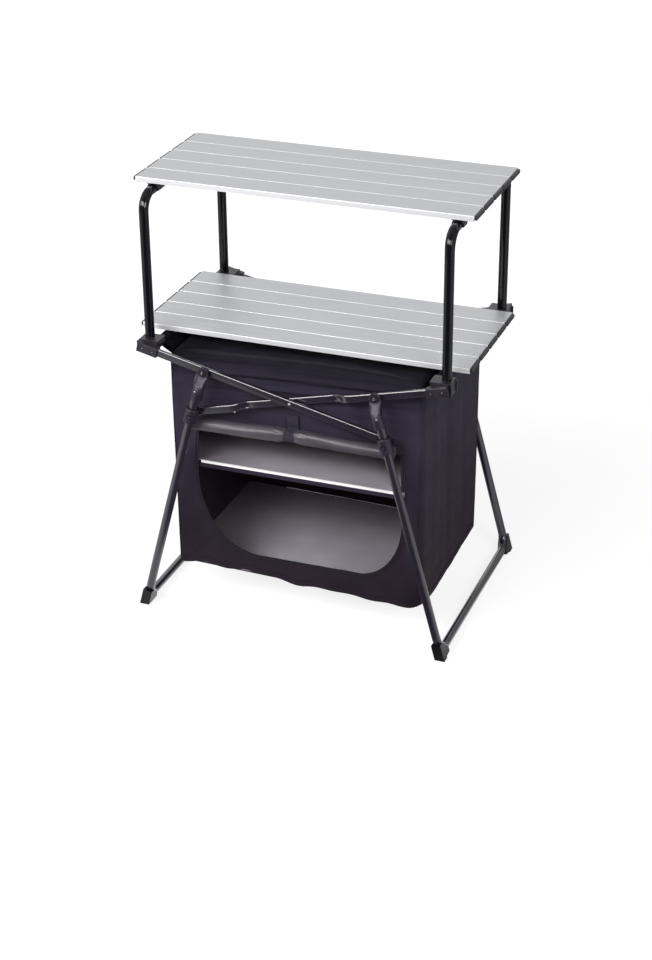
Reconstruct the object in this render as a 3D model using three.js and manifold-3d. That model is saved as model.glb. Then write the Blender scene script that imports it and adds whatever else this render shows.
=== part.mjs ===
// Camp kitchen cabinet: two slatted tabletops on a scissor-folding tube frame, with a cloth cabinet in it.
// Lengths are millimetres and angles degrees. +Z is up, the front faces -Y, and the origin is on the floor,
// under the middle of the frame. The frame takes its width and depth from the tabletops. The brackets, the
// rails and the cloth hang from the height of the lower tabletop.
import * as THREE from 'three';
import { mergeVertices } from 'three/addons/utils/BufferGeometryUtils.js';
import Module from 'manifold-3d';

const wasm = await Module();
wasm.setup();

// Tabletops
const tableLength = 800;
const slatPitch = 68.5;
const slatCount = 5;
const slatGap = 0.6;
const slatHeight = 12.5;
const slatWall = 1.6;
const slatBevel = 1.5;
const slatFootWidth = 7;
const capThickness = 6;
const capInset = 1.2;
const capCorner = 3;
const upperTopHeight = 1043;
const lowerTopHeight = 692;

// Loops that carry the upper tabletop
const postDiameter = 22;
const postWall = 1.2;
const postFromTableEnd = 44;
const postBehindRail = 33;
const postBendRadius = 38;
const clipThickness = 3.4;
const clipLength = 26;
const clipLegDrop = 6;
const clipFromTableEdge = 12;

// Scissor rails: flat tubes that cross at the middle of the front and of the back
const railEndDrop = 25.04;
const railPastPost = 9.69;
const railSlope = 13.45;
const railHeight = 18;
const railThickness = 10;
const railWall = 1.2;
const railCorner = 2.2;
const railFromCloth = 30;
const legPivotShare = 0.5633;
const collarShare = 0.6407;
const joggleShare = 0.3245;
const railEndMargin = 12;
const joggleRun = 22;
const joggleBend = 14;
const crossingWasher = 3;

// Corner brackets at the rails' upper ends
const sleeveLength = 50;
const sleeveOverhang = 5;
const sleeveWall = 2.4;
const sleeveFrontWall = 5;
const sleeveBackWall = 4;
const sleeveCorner = 5;
const screwRecessRadius = 4;
const screwRecessDepth = 1.6;
const screwInsets = [34, 8];
const blockOutsidePost = 17;
const blockInsidePost = 34.5;
const blockBehindPost = 16;
const blockTopDrop = 12;
const blockHeight = 39;
const socketDepth = 30;
const shoulderDrop = 8;

// Crossbars between the front and back brackets, under the lower tabletop
const crossbarDiameter = 18;
const crossbarWall = 1.2;
const crossbarInsidePost = 22.5;
const crossbarPlugDepth = 24;

// Legs: one bent tube on each side, with a flattened fitting at each top end
const legDiameter = 20;
const legWall = 1.2;
const legBendRadius = 40;
const floorBarHeight = 14;
const pivotSpacer = 5;
const fittingRadius = 13;
const fittingHalfWidth = 14;
const fittingOffset = 1.8;
const fittingLength = 66;
const fittingTaperTop = 18;
const fittingTaperBottom = 38;
const fittingBoreDepth = 26;
const tongueThickness = 6;
const fittingRivetDrop = 41;
const fittingRivetRadius = 3.2;
const fittingRivetRise = 1.2;
const tongueFlatShare = 0.45;

// Sliding collars and their push buttons
const collarRadius = 15.5;
const collarLength = 37;
const collarRecessRadius = 13;
const collarRecessDepth = 3;
const collarBossRadius = 8;
const buttonRadius = 6.5;
const buttonBoreRadius = 7.1;
const buttonRise = 1.5;
const buttonThickness = 3.4;
const buttonEdge = 0.8;

// Shoes at the legs' outer corners
const shoeWidth = 23.2;
const shoeSkin = 4;
const shoeHeight = 40;
const soleLength = 22;
const shoeRun = 44;

// Rivets
const rivetShankRadius = 3.9;
const rivetHoleRadius = 4.3;
const rivetHeadRadius = 7.5;
const rivetHeadHeight = 2.2;
const rivetEdge = 0.9;
const washerRadius = 9;

// Cloth cabinet
const clothInsideCrossbar = 28;
const clothBeyondTable = 45.75;
const clothBottom = 90;
const clothTopDrop = 42;
const clothThickness = 1.6;
const clothTopCorner = 14;
const clothBottomCorner = 55;
const foldDepth = 4.5;
const foldPitch = 34;
const foldSag = 34;
const foldBand = 110;
const doorBorder = 49.5;
const doorOffset = 4;
const doorRise = 60;
const doorTopUnderRoll = 11;
const doorLeftCorner = [150, 185];
const doorRightCorner = [108, 150];
const hangerThickness = 1.5;
const hangerFromFront = 27;
const hangerLap = 15;
const hangerLapDrop = 25;
const shelfDrop = 269;
const panelThickness = 3;
const panelGap = 0.5;
const shelfCorner = 34;
const floorCorner = 78;
const edgeBarInset = 16;
const edgeBarHeight = 6;
const edgeBarDepth = 3.6;

// Rolled door, its strap and its zip slider
const rollRadius = 16;
const rollInset = 13;
const rollUnderRails = 6.9;
const rollPinch = 2.5;
const rollPinchHalfLength = 26;
const rollEndRound = 5;
const strapX = -5;
const strapWidth = 28;
const strapThickness = 1.2;
const strapTailRise = 49;
const zipFromDoor = 1;
const zipBodyWidth = 7;
const zipBodyLength = 11;
const zipBodyDepth = 3.6;
const zipPullWidth = 4.4;
const zipPullLength = 18;
const zipPullDepth = 1.4;

// Fits, and the fineness of round surfaces
const slidingGap = 0.3;
const seatGap = 0.3;
const cutOverrun = 2;
const joinOverlap = 0.4;
const weldDistance = 0.001;
const tubeSides = 16;
const smallSides = 16;
const bendSteps = 5;
const joggleSteps = 2;
const rivetSides = 12;

// Worked-out sizes
const slope = THREE.MathUtils.degToRad(railSlope);
const slatWidth = slatPitch - slatGap;
const tableHalfDepth = (slatPitch * slatCount) / 2;
const postX = tableLength / 2 - postFromTableEnd;
const crossbarX = postX - crossbarInsidePost;
const clothHalfWidth = crossbarX - clothInsideCrossbar;
const clothHalfDepth = tableHalfDepth + clothBeyondTable;
const clothTop = lowerTopHeight - clothTopDrop;
const railY = clothHalfDepth + railFromCloth;
const postY = railY - postBehindRail;
const railUpperReach = (postX + railPastPost) / Math.cos(slope);
const legPivotReach = railUpperReach * legPivotShare;
const collarReach = railUpperReach * collarShare;
const joggleReach = railUpperReach * joggleShare;
const crossingHeight = lowerTopHeight - railEndDrop - railUpperReach * Math.sin(slope);
const sleeveOuterReach = railUpperReach + sleeveOverhang;
const sleeveInnerReach = sleeveOuterReach - sleeveLength;
const screwReaches = screwInsets.map((inset) => railUpperReach - inset);
const blockOuterX = postX + blockOutsidePost;
const blockInnerX = postX - blockInsidePost;
const blockBackY = postY - blockBehindPost;
const blockTop = lowerTopHeight - blockTopDrop;
const blockBottom = blockTop - blockHeight;
const doorHalfWidth = clothHalfWidth - doorBorder;
const doorBottom = clothBottom + doorRise;
const edgeBarHalfLength = doorHalfWidth - edgeBarInset;
const shelfTop = clothTop - shelfDrop;
const hangerHalfLength = clothHalfDepth - hangerFromFront;
const hangerLapTop = clothTop - hangerLapDrop;
const postRadius = postDiameter / 2;
const legRadius = legDiameter / 2;
const crossbarRadius = crossbarDiameter / 2;
const railFrontY = railY + railThickness / 2;
const railBackY = railY - railThickness / 2;
const tongueBackY = railFrontY + pivotSpacer;
const legY = tongueBackY + fittingRadius;
const joggleShift = railThickness + crossingWasher;
const upperSlatBottom = upperTopHeight - slatHeight;
const lowerSlatBottom = lowerTopHeight - slatHeight;
const loopBarZ = upperSlatBottom - seatGap - clipThickness - slidingGap - postRadius;
const hangerOuterRadius = crossbarRadius + slidingGap + hangerThickness;
const crossbarZ = lowerSlatBottom - seatGap - hangerOuterRadius;
const socketFloor = blockTop - socketDepth;
const legPivot = new THREE.Vector3(-legPivotReach * Math.cos(slope), 0,
  crossingHeight + legPivotReach * Math.sin(slope));
const legSplay = Math.atan2((collarReach - legPivotReach) * Math.cos(slope),
  (collarReach + legPivotReach) * Math.sin(slope));
const collarDrop = Math.hypot((collarReach - legPivotReach) * Math.cos(slope),
  (collarReach + legPivotReach) * Math.sin(slope));
const floorBarDrop = (legPivot.z - floorBarHeight) / Math.cos(legSplay);
const railLowerReach = collarReach + railEndMargin;
const rollHalfLength = doorHalfWidth - rollInset;
const rollHeight = crossingHeight - railLowerReach * Math.sin(slope) - (railHeight / 2) * Math.cos(slope)
  - rollUnderRails - rollRadius;
const strapTailTop = rollHeight + strapTailRise;
const doorTop = rollHeight - doorTopUnderRoll;
const zipX = doorOffset + doorHalfWidth + zipFromDoor;

// Finishes
function finish(color, roughness, metalness) {
  return new THREE.MeshStandardMaterial({ color, roughness, metalness });
}

const satinAluminium = finish(0xb9bbbe, 0.42, 0.8);
const glossBlackPaint = finish(0x18181b, 0.22, 0.4);
const satinGreyPaint = finish(0x4b4950, 0.42, 0.55);
const blackPlastic = finish(0x26262a, 0.55, 0);
const rivetSteel = finish(0x6c6b70, 0.35, 0.8);
const charcoalCloth = finish(0x2e2c36, 0.9, 0);
const greyPanelCloth = finish(0x6d6b74, 0.9, 0);
const paleEdging = finish(0xf0f0f2, 0.5, 0);

// A closed geometry as a solid that can be joined and cut.
function solid(geometry) {
  const bare = geometry.index ? geometry.toNonIndexed() : geometry.clone();
  for (const name of Object.keys(bare.attributes)) {
    if (name !== 'position') bare.deleteAttribute(name);
  }
  const merged = mergeVertices(bare, weldDistance);
  return new wasm.Manifold(new wasm.Mesh({
    numProp: 3,
    vertProperties: merged.attributes.position.array,
    triVerts: new Uint32Array(merged.index.array),
  }));
}

// The joined solids as one geometry, less the cuts.
function shaped(joined, cuts = []) {
  let body = solid(joined[0]);
  for (const piece of joined.slice(1)) body = body.add(solid(piece));
  for (const piece of cuts) body = body.subtract(solid(piece));
  const mesh = body.getMesh();
  const geometry = new THREE.BufferGeometry();
  geometry.setAttribute('position', new THREE.BufferAttribute(new Float32Array(mesh.vertProperties), 3));
  geometry.setIndex(new THREE.BufferAttribute(new Uint32Array(mesh.triVerts), 1));
  geometry.computeVertexNormals();
  return geometry;
}

// What two closed geometries have in common, as one geometry.
function common(first, second) {
  const mesh = solid(first).intersect(solid(second)).getMesh();
  const geometry = new THREE.BufferGeometry();
  geometry.setAttribute('position', new THREE.BufferAttribute(new Float32Array(mesh.vertProperties), 3));
  geometry.setIndex(new THREE.BufferAttribute(new Uint32Array(mesh.triVerts), 1));
  return geometry;
}

// A box from one corner to the other.
function box(x0, x1, y0, y1, z0, z1) {
  return new THREE.BoxGeometry(x1 - x0, y1 - y0, z1 - z0)
    .translate((x0 + x1) / 2, (y0 + y1) / 2, (z0 + z1) / 2);
}

// A round bar along Y at (x, z).
function barAlongY(radius, x, z, y0, y1, sides = smallSides) {
  return new THREE.CylinderGeometry(radius, radius, y1 - y0, sides).translate(x, (y0 + y1) / 2, z);
}

// A round bar along Z at (x, y).
function barAlongZ(radius, x, y, z0, z1, sides = tubeSides) {
  return new THREE.CylinderGeometry(radius, radius, z1 - z0, sides)
    .rotateX(Math.PI / 2).translate(x, y, (z0 + z1) / 2);
}

// The shape of an outline, which is a list of number pairs or a shape already.
function shapeOf(outline) {
  if (outline instanceof THREE.Shape) return outline;
  return new THREE.Shape(outline.map(([across, up]) => new THREE.Vector2(across, up)));
}

// An outline given as [y, z] pairs, pushed along X from x0 to x1.
function slabAlongX(outline, x0, x1) {
  const turned = new THREE.Matrix4().makeBasis(
    new THREE.Vector3(0, 1, 0), new THREE.Vector3(0, 0, 1), new THREE.Vector3(1, 0, 0));
  const options = { depth: x1 - x0, bevelEnabled: false, curveSegments: 3 };
  return new THREE.ExtrudeGeometry(shapeOf(outline), options)
    .applyMatrix4(turned).translate(x0, 0, 0);
}

// An outline given as [x, z] pairs or as a shape, pushed along Y from y0 to y1.
function slabAlongY(outline, y0, y1, curveSegments = 6) {
  return new THREE.ExtrudeGeometry(shapeOf(outline), { depth: y1 - y0, bevelEnabled: false, curveSegments })
    .rotateX(Math.PI / 2).translate(0, y1, 0);
}

// A round outline, with a round hole in it if a bore is given.
function roundSection(radius, bore = 0, sides = tubeSides) {
  const ring = (r) => Array.from({ length: sides }, (_, i) => new THREE.Vector2(
    r * Math.cos((2 * Math.PI * i) / sides), r * Math.sin((2 * Math.PI * i) / sides)));
  const section = new THREE.Shape(ring(radius));
  if (bore) section.holes.push(new THREE.Path(ring(bore)));
  return section;
}

// A rectangle with round corners about the origin.
function roundedRectangle(width, height, corner, Outline = THREE.Shape) {
  const x = width / 2 - corner;
  const y = height / 2 - corner;
  const outline = new Outline();
  outline.absarc(x, y, corner, 0, Math.PI / 2);
  outline.absarc(-x, y, corner, Math.PI / 2, Math.PI);
  outline.absarc(-x, -y, corner, Math.PI, (3 * Math.PI) / 2);
  outline.absarc(x, -y, corner, (3 * Math.PI) / 2, 2 * Math.PI);
  outline.closePath();
  return outline;
}

// A run of straight lines with round bends at the corners. It has stations only where the path turns.
class BentPath extends THREE.Curve {
  constructor(corners, bendRadius, bends = bendSteps) {
    super();
    this.points = [];
    this.tangents = [];
    corners.forEach((corner, i) => {
      const before = corners[i - 1];
      const after = corners[i + 1];
      if (!before || !after) {
        const other = before || after;
        this.points.push(corner);
        this.tangents.push((before ? corner.clone().sub(other) : other.clone().sub(corner)).normalize());
        return;
      }
      const arriving = corner.clone().sub(before).normalize();
      const leaving = after.clone().sub(corner).normalize();
      const turn = arriving.angleTo(leaving);
      const inward = leaving.clone().sub(arriving).normalize();
      const centre = corner.clone().addScaledVector(inward, bendRadius / Math.cos(turn / 2));
      const across = arriving.clone().cross(leaving).normalize();
      const start = corner.clone().addScaledVector(arriving, -bendRadius * Math.tan(turn / 2)).sub(centre);
      for (let step = 0; step <= bends; step += 1) {
        const angle = (turn * step) / bends;
        this.points.push(start.clone().applyAxisAngle(across, angle).add(centre));
        this.tangents.push(arriving.clone().applyAxisAngle(across, angle));
      }
    });
  }

  get steps() {
    return this.points.length - 1;
  }

  getPointAt(share, target = new THREE.Vector3()) {
    return target.copy(this.points[Math.round(share * this.steps)]);
  }

  getTangentAt(share, target = new THREE.Vector3()) {
    return target.copy(this.tangents[Math.round(share * this.steps)]);
  }
}

// A section swept along a bent path.
function swept(section, path) {
  return new THREE.ExtrudeGeometry(section, {
    steps: path.steps, extrudePath: path, bevelEnabled: false, curveSegments: 1,
  });
}

// A turned piece whose axis is Y, from [radius, y] pairs that start and end on the axis.
function turnedAboutY(profile, sides = smallSides) {
  return new THREE.LatheGeometry(profile.map(([radius, y]) => new THREE.Vector2(radius, y)), sides);
}

// Rings of points, from the lowest to the highest, skinned and closed with a fan at each end.
function skinned(rings) {
  const count = rings[0].length;
  const sumOf = (ring) => ring.reduce((sum, point) => sum.add(point), new THREE.Vector3());
  const middle = (ring) => sumOf(ring).divideScalar(count);
  const vertices = [...rings.flat(), middle(rings[0]), middle(rings[rings.length - 1])];
  const low = count * rings.length;
  const faces = [];
  for (let i = 0; i < count; i += 1) {
    const next = (i + 1) % count;
    for (let level = 0; level + 1 < rings.length; level += 1) {
      const here = level * count;
      const above = here + count;
      faces.push(here + i, here + next, above + next, here + i, above + next, above + i);
    }
    faces.push(low, next, i);
    faces.push(low + 1, low - count + i, low - count + next);
  }
  const geometry = new THREE.BufferGeometry().setFromPoints(vertices);
  geometry.setIndex(faces);
  return geometry;
}

const cabinet = new THREE.Group();

// Adds a named piece to the model, or to one of its groups.
function add(name, geometry, material, parent = cabinet) {
  const mesh = new THREE.Mesh(geometry, material);
  mesh.name = name;
  parent.add(mesh);
  return mesh;
}

// The four corners: each has its name and the signs of its X and Y.
const corners = [
  { name: 'front_left', side: 1, end: 1 },
  { name: 'front_right', side: -1, end: 1 },
  { name: 'rear_left', side: 1, end: -1 },
  { name: 'rear_right', side: -1, end: -1 },
];

// Adds a piece drawn for the front left corner at all four corners.
function addAtCorners(suffix, geometry, material) {
  for (const { name, side, end } of corners) {
    add(`${name}_${suffix}`, geometry, material).scale.set(side, end, 1);
  }
}

// One slat: an aluminium channel, open below, with a plastic cap on each end. Its top face is at z = 0.
function slat() {
  const half = slatWidth / 2;
  const foot = half - slatFootWidth;
  const wall = half - slatWall;
  const floor = -slatHeight + slatWall;
  const right = [[half - slatBevel, 0], [half, -slatBevel], [half, -slatHeight], [foot, -slatHeight],
    [foot, floor], [wall, floor], [wall, -slatWall]];
  const left = right.map(([y, z]) => [-y, z]).reverse();
  const halfCap = half - capInset;
  const capTop = -capInset / 2;
  const capBottom = -slatHeight + capInset / 2;
  const capOutline = [[halfCap - capCorner, capTop], [halfCap, capTop - capCorner],
    [halfCap, capBottom + capCorner], [halfCap - capCorner, capBottom]];
  const capProfile = [...capOutline, ...capOutline.map(([y, z]) => [-y, z]).reverse()];
  const channelEnd = tableLength / 2 - capThickness;
  const channel = slabAlongX([...right, ...left].reverse(), -channelEnd, channelEnd);
  const cap = (x0, x1) => slabAlongX([...capProfile].reverse(), x0, x1);
  const leftCap = cap(-tableLength / 2, joinOverlap - channelEnd);
  const rightCap = cap(channelEnd - joinOverlap, tableLength / 2);
  return shaped([channel, leftCap, rightCap]);
}

const slatGeometry = slat();
for (const [tableName, height] of [['upper', upperTopHeight], ['lower', lowerTopHeight]]) {
  for (let i = 0; i < slatCount; i += 1) {
    const mesh = add(`${tableName}_slat_${i + 1}`, slatGeometry, satinAluminium);
    mesh.position.set(0, (i - (slatCount - 1) / 2) * slatPitch, height);
  }
}

// One loop: a tube up from the front bracket, back under the upper tabletop and down into the back bracket.
function postLoop() {
  const point = (y, z) => new THREE.Vector3(-postX, y, z);
  const foot = socketFloor + slidingGap;
  const path = new BentPath([point(-postY, foot), point(-postY, loopBarZ), point(postY, loopBarZ),
    point(postY, foot)], postBendRadius);
  return swept(roundSection(postRadius, postRadius - postWall), path);
}

const loopGeometry = postLoop();
add('left_post_loop', loopGeometry, glossBlackPaint);
add('right_post_loop', loopGeometry, glossBlackPaint).scale.x = -1;

// One clip: a saddle snapped over a loop's top bar, on which a corner of the upper tabletop sits.
function tableClip() {
  const bore = postRadius + slidingGap;
  const half = bore + clipThickness;
  const y0 = clipFromTableEdge - tableHalfDepth - clipLength / 2;
  const saddle = box(-postX - half, -postX + half, y0, y0 + clipLength, loopBarZ - clipLegDrop,
    upperSlatBottom - seatGap);
  const y1 = y0 + clipLength;
  return shaped([saddle], [barAlongY(bore, -postX, loopBarZ, y0 - cutOverrun, y1 + cutOverrun, tubeSides)]);
}

addAtCorners('table_clip', tableClip(), blackPlastic);

// Holes across a rail, at the given places along it.
function railHoles(places) {
  const reach = railFrontY + cutOverrun;
  return places.map((x) => barAlongY(rivetHoleRadius, x, 0, -reach, joggleShift - railBackY + cutOverrun));
}

// One rail along X about its crossing, with the bracket's end at -X. A joggled rail passes behind the other
// one.
function rail(joggled) {
  const section = roundedRectangle(railHeight, railThickness, railCorner);
  const bore = roundedRectangle(railHeight - 2 * railWall, railThickness - 2 * railWall,
    railCorner - railWall / 2, THREE.Path);
  section.holes.push(bore);
  const start = -railUpperReach;
  const end = railLowerReach;
  const at = (x, shift = 0) => new THREE.Vector3(x, -railY + shift, 0);
  const near = joggleReach - joggleRun / 2;
  const far = joggleReach + joggleRun / 2;
  const course = joggled
    ? [at(start), at(-far), at(-near, joggleShift), at(near, joggleShift), at(far), at(end)]
    : [at(start), at(end)];
  const tube = swept(section, new BentPath(course, joggleBend, joggleSteps));
  return shaped([tube], railHoles([-legPivotReach, 0, collarReach]));
}

// Groups that hold what is drawn along a rail: the crossing is their origin, and they carry the rail's slope.
const leftRails = new THREE.Group();
leftRails.position.z = crossingHeight;
leftRails.rotation.y = slope;
const rightRails = leftRails.clone();
rightRails.rotation.y = -slope;
cabinet.add(leftRails, rightRails);

const straightRail = rail(false);
const joggledRail = rail(true);
add('front_left_rail', straightRail, satinGreyPaint, leftRails);
add('rear_left_rail', straightRail, satinGreyPaint, leftRails).scale.y = -1;
add('front_right_rail', joggledRail, satinGreyPaint, rightRails).scale.x = -1;
add('rear_right_rail', joggledRail, satinGreyPaint, rightRails).scale.set(-1, -1, 1);

// The rivet at a crossing: a head in front, a washer between the two rails and a head behind them.
function crossingRivet() {
  const faces = [-railFrontY - slidingGap, -railBackY + slidingGap, -railBackY + crossingWasher - slidingGap,
    joggleShift - railBackY + slidingGap];
  return turnedAboutY([
    [0, faces[0] - rivetHeadHeight], [rivetHeadRadius - rivetEdge, faces[0] - rivetHeadHeight],
    [rivetHeadRadius, faces[0] - rivetHeadHeight + rivetEdge], [rivetHeadRadius, faces[0]],
    [rivetShankRadius, faces[0]], [rivetShankRadius, faces[1]], [washerRadius, faces[1]],
    [washerRadius, faces[2]], [rivetShankRadius, faces[2]], [rivetShankRadius, faces[3]],
    [rivetHeadRadius, faces[3]], [rivetHeadRadius, faces[3] + rivetHeadHeight],
    [0, faces[3] + rivetHeadHeight],
  ], rivetSides);
}

const crossingGeometry = crossingRivet();
add('front_crossing_rivet', crossingGeometry, rivetSteel).position.z = crossingHeight;
const rearCrossing = add('rear_crossing_rivet', crossingGeometry, rivetSteel);
rearCrossing.position.z = crossingHeight;
rearCrossing.scale.y = -1;

// The front left bracket: a sleeve on the rail's end, a socket for the loop's foot, open on its outer side,
// and a bore for the crossbar.
function cornerBracket() {
  const sleeveFront = -railFrontY - sleeveFrontWall;
  const sleeveBack = -railBackY + sleeveBackWall;
  const sleeveHeight = railHeight + 2 * sleeveWall;
  const alongRail = (geometry) => geometry.rotateY(slope).translate(0, 0, crossingHeight);
  const middle = (sleeveInnerReach + sleeveOuterReach) / 2;
  const outline = roundedRectangle(sleeveOuterReach - sleeveInnerReach, sleeveHeight, sleeveCorner / 2);
  const sleeve = alongRail(slabAlongY(outline, sleeveFront, sleeveBack, 2).translate(-middle, 0, 0));
  const block = box(-blockOuterX, -blockInnerX, sleeveBack - cutOverrun, -blockBackY, blockBottom, blockTop);
  const shoulderFront = sleeveFront + sleeveFrontWall / 2;
  const shoulder = slabAlongX([[shoulderFront, blockTop - shoulderDrop],
    [shoulderFront, blockTop - 2 * shoulderDrop], [sleeveBack, blockBottom + shoulderDrop],
    [sleeveBack, blockTop]], -blockOuterX + sleeveCorner, -blockInnerX);
  const boreHalfHeight = railHeight / 2 + slidingGap;
  const railBore = alongRail(box(-railUpperReach - slidingGap, -sleeveInnerReach + cutOverrun,
    -railFrontY - slidingGap, -railBackY + slidingGap, -boreHalfHeight, boreHalfHeight));
  const socketRadius = postRadius + slidingGap;
  const socket = barAlongZ(socketRadius, -postX, -postY, socketFloor, blockTop + cutOverrun);
  const socketMouth = box(-blockOuterX - cutOverrun, -postX, -postY - socketRadius, -postY + socketRadius,
    socketFloor, blockTop + cutOverrun);
  const crossbarBore = barAlongY(crossbarRadius + slidingGap, -crossbarX, crossbarZ,
    -blockBackY - crossbarPlugDepth, -blockBackY + cutOverrun);
  const recesses = screwReaches.map((reach) => alongRail(barAlongY(screwRecessRadius, -reach, 0,
    sleeveFront - cutOverrun, sleeveFront + screwRecessDepth, 12)));
  return shaped([sleeve, block, shoulder], [railBore, socket, socketMouth, crossbarBore, ...recesses]);
}

addAtCorners('corner_bracket', cornerBracket(), blackPlastic);

// The crossbars, whose ends are plugged into the brackets.
const crossbarEnd = blockBackY + crossbarPlugDepth - slidingGap;
const crossbarGeometry = slabAlongY(roundSection(crossbarRadius, crossbarRadius - crossbarWall),
  -crossbarEnd, crossbarEnd).translate(-crossbarX, 0, crossbarZ);
add('left_crossbar', crossbarGeometry, glossBlackPaint);
add('right_crossbar', crossbarGeometry, glossBlackPaint).scale.x = -1;

// Groups that hold what is drawn along a leg: the pivot is their origin, and they carry the leg's splay.
const leftLeg = new THREE.Group();
leftLeg.position.copy(legPivot);
leftLeg.rotation.y = legSplay;
const rightLeg = leftLeg.clone();
rightLeg.position.x = -legPivot.x;
rightLeg.rotation.y = -legSplay;
cabinet.add(leftLeg, rightLeg);

// Adds a piece drawn for the front of the left leg on both ends of both legs.
function addOnLegs(suffix, geometry, material) {
  for (const { name, side, end } of corners) {
    add(`${name}_${suffix}`, geometry, material, side > 0 ? leftLeg : rightLeg).scale.set(side, end, 1);
  }
}

// One pair of legs: a tube down from the front fitting, back along the floor and up to the back fitting.
const legTop = -fittingLength + fittingBoreDepth - slidingGap;
function legPath() {
  const point = (y, z) => new THREE.Vector3(0, y, z);
  return new BentPath([point(-legY, legTop), point(-legY, -floorBarDrop), point(legY, -floorBarDrop),
    point(legY, legTop)], legBendRadius);
}

const legGeometry = swept(roundSection(legRadius, legRadius - legWall), legPath());
add('left_leg_loop', legGeometry, satinGreyPaint, leftLeg);
add('right_leg_loop', legGeometry, satinGreyPaint, rightLeg);

// The fitting on a leg's top end: a sleeve that is pressed flat, backwards, into a tongue with a round end.
function legFitting() {
  const height = fittingLength + fittingHalfWidth;
  const tube = new THREE.CylinderGeometry(fittingRadius, fittingRadius, height, 16, 8).rotateX(Math.PI / 2)
    .translate(0, 0, height / 2 - fittingLength);
  const place = tube.attributes.position;
  const tongueMiddle = fittingRadius - tongueThickness / 2;
  for (let i = 0; i < place.count; i += 1) {
    const flat = THREE.MathUtils.smoothstep(place.getZ(i), -fittingTaperBottom, -fittingTaperTop);
    const depth = place.getY(i) / fittingRadius;
    const flatDepth = THREE.MathUtils.clamp(depth / tongueFlatShare, -1, 1);
    const pressed = tongueMiddle + (tongueThickness / 2) * flatDepth;
    place.setY(i, THREE.MathUtils.lerp(place.getY(i), pressed, flat));
    place.setX(i, place.getX(i) * (fittingHalfWidth / fittingRadius) + fittingOffset * (1 - flat));
  }
  const reach = fittingRadius + cutOverrun;
  const roundTop = shaped([
    barAlongY(fittingHalfWidth, 0, 0, -reach, reach, 24),
    box(-reach - cutOverrun, reach + cutOverrun, -reach, reach, -fittingLength - cutOverrun, 0),
  ]);
  const rivet = barAlongY(fittingRivetRadius, 0, -fittingRivetDrop, -fittingRadius - fittingRivetRise,
    -legRadius - slidingGap - joinOverlap, 10);
  const bore = barAlongZ(legRadius + slidingGap, 0, 0, -fittingLength - cutOverrun,
    -fittingLength + fittingBoreDepth);
  const hole = barAlongY(rivetHoleRadius, 0, 0, -reach, reach);
  return shaped([common(tube, roundTop), rivet], [bore, hole]).translate(0, -legY, 0);
}

addOnLegs('leg_fitting', legFitting(), satinGreyPaint);

// The rivet that hinges a leg on a rail: a head in front, a spacer before the rail, and a head behind it.
function legRivet() {
  const front = -tongueBackY - tongueThickness - slidingGap;
  const spacerFront = -tongueBackY + slidingGap;
  const spacerBack = -railFrontY - slidingGap;
  const back = -railBackY + slidingGap;
  return turnedAboutY([
    [0, front - rivetHeadHeight], [rivetHeadRadius - rivetEdge, front - rivetHeadHeight],
    [rivetHeadRadius, front - rivetHeadHeight + rivetEdge], [rivetHeadRadius, front],
    [rivetShankRadius, front], [rivetShankRadius, spacerFront], [washerRadius, spacerFront],
    [washerRadius, spacerBack], [rivetShankRadius, spacerBack],
    [rivetShankRadius, back], [rivetHeadRadius, back],
    [rivetHeadRadius, back + rivetHeadHeight], [0, back + rivetHeadHeight],
  ], rivetSides);
}

addOnLegs('leg_rivet', legRivet(), rivetSteel);

// A collar that slides on a leg, with a boss that faces the rail's end and a bore for its button.
function slidingCollar() {
  const bore = legRadius + slidingGap;
  const half = collarLength / 2;
  const profile = [[bore, -half], [collarRadius - rivetEdge, -half], [collarRadius, -half + rivetEdge],
    [collarRadius, half - rivetEdge], [collarRadius - rivetEdge, half], [collarRecessRadius, half],
    [collarRecessRadius, half - collarRecessDepth], [bore, half - collarRecessDepth], [bore, -half]];
  const outer = turnedAboutY(profile, tubeSides).rotateX(Math.PI / 2);
  const boss = barAlongY(collarBossRadius, 0, 0, bore + joinOverlap, legY - railFrontY - seatGap);
  const buttonBore = barAlongY(buttonBoreRadius, 0, 0, -collarRadius - cutOverrun, -bore + joinOverlap);
  return shaped([outer, boss], [barAlongZ(bore, 0, 0, -half - cutOverrun, half + cutOverrun), buttonBore])
    .translate(0, -legY, -collarDrop);
}

addOnLegs('sliding_collar', slidingCollar(), satinGreyPaint);

// The push button in a collar's front.
function collarButton() {
  const front = -collarRadius - buttonRise;
  const back = front + buttonThickness;
  return turnedAboutY([[0, front], [buttonRadius - buttonEdge, front], [buttonRadius, front + buttonEdge],
    [buttonRadius, back], [0, back]], 20).translate(0, -legY, -collarDrop);
}

addOnLegs('collar_button', collarButton(), blackPlastic);

// The shoe at the outside of the front left bend: a wedge that fits the tube and is cut flat on the floor.
function legShoe() {
  const bar = -floorBarDrop;
  const front = -legY - legRadius - shoeSkin;
  const low = bar - floorBarHeight - legRadius;
  const outline = [[front, bar + shoeHeight - floorBarHeight], [front, low], [front + soleLength, low],
    [front + soleLength, bar - floorBarHeight], [front + shoeRun, bar - legRadius - shoeSkin / 2],
    [front + shoeRun, bar], [-legY, bar + shoeHeight - floorBarHeight]];
  const wedge = slabAlongX(outline, -shoeWidth / 2, shoeWidth / 2);
  const tube = swept(roundSection(legRadius + slidingGap), legPath());
  const inPart = (geometry) => geometry.rotateY(legSplay).translate(legPivot.x, 0, legPivot.z);
  const reach = tableLength;
  const aboveFloor = box(-reach, reach, -reach, reach, 0, shoeHeight * 2);
  return common(shaped([inPart(wedge)], [inPart(tube)]), aboveFloor);
}

addAtCorners('leg_shoe', legShoe(), blackPlastic);

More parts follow.
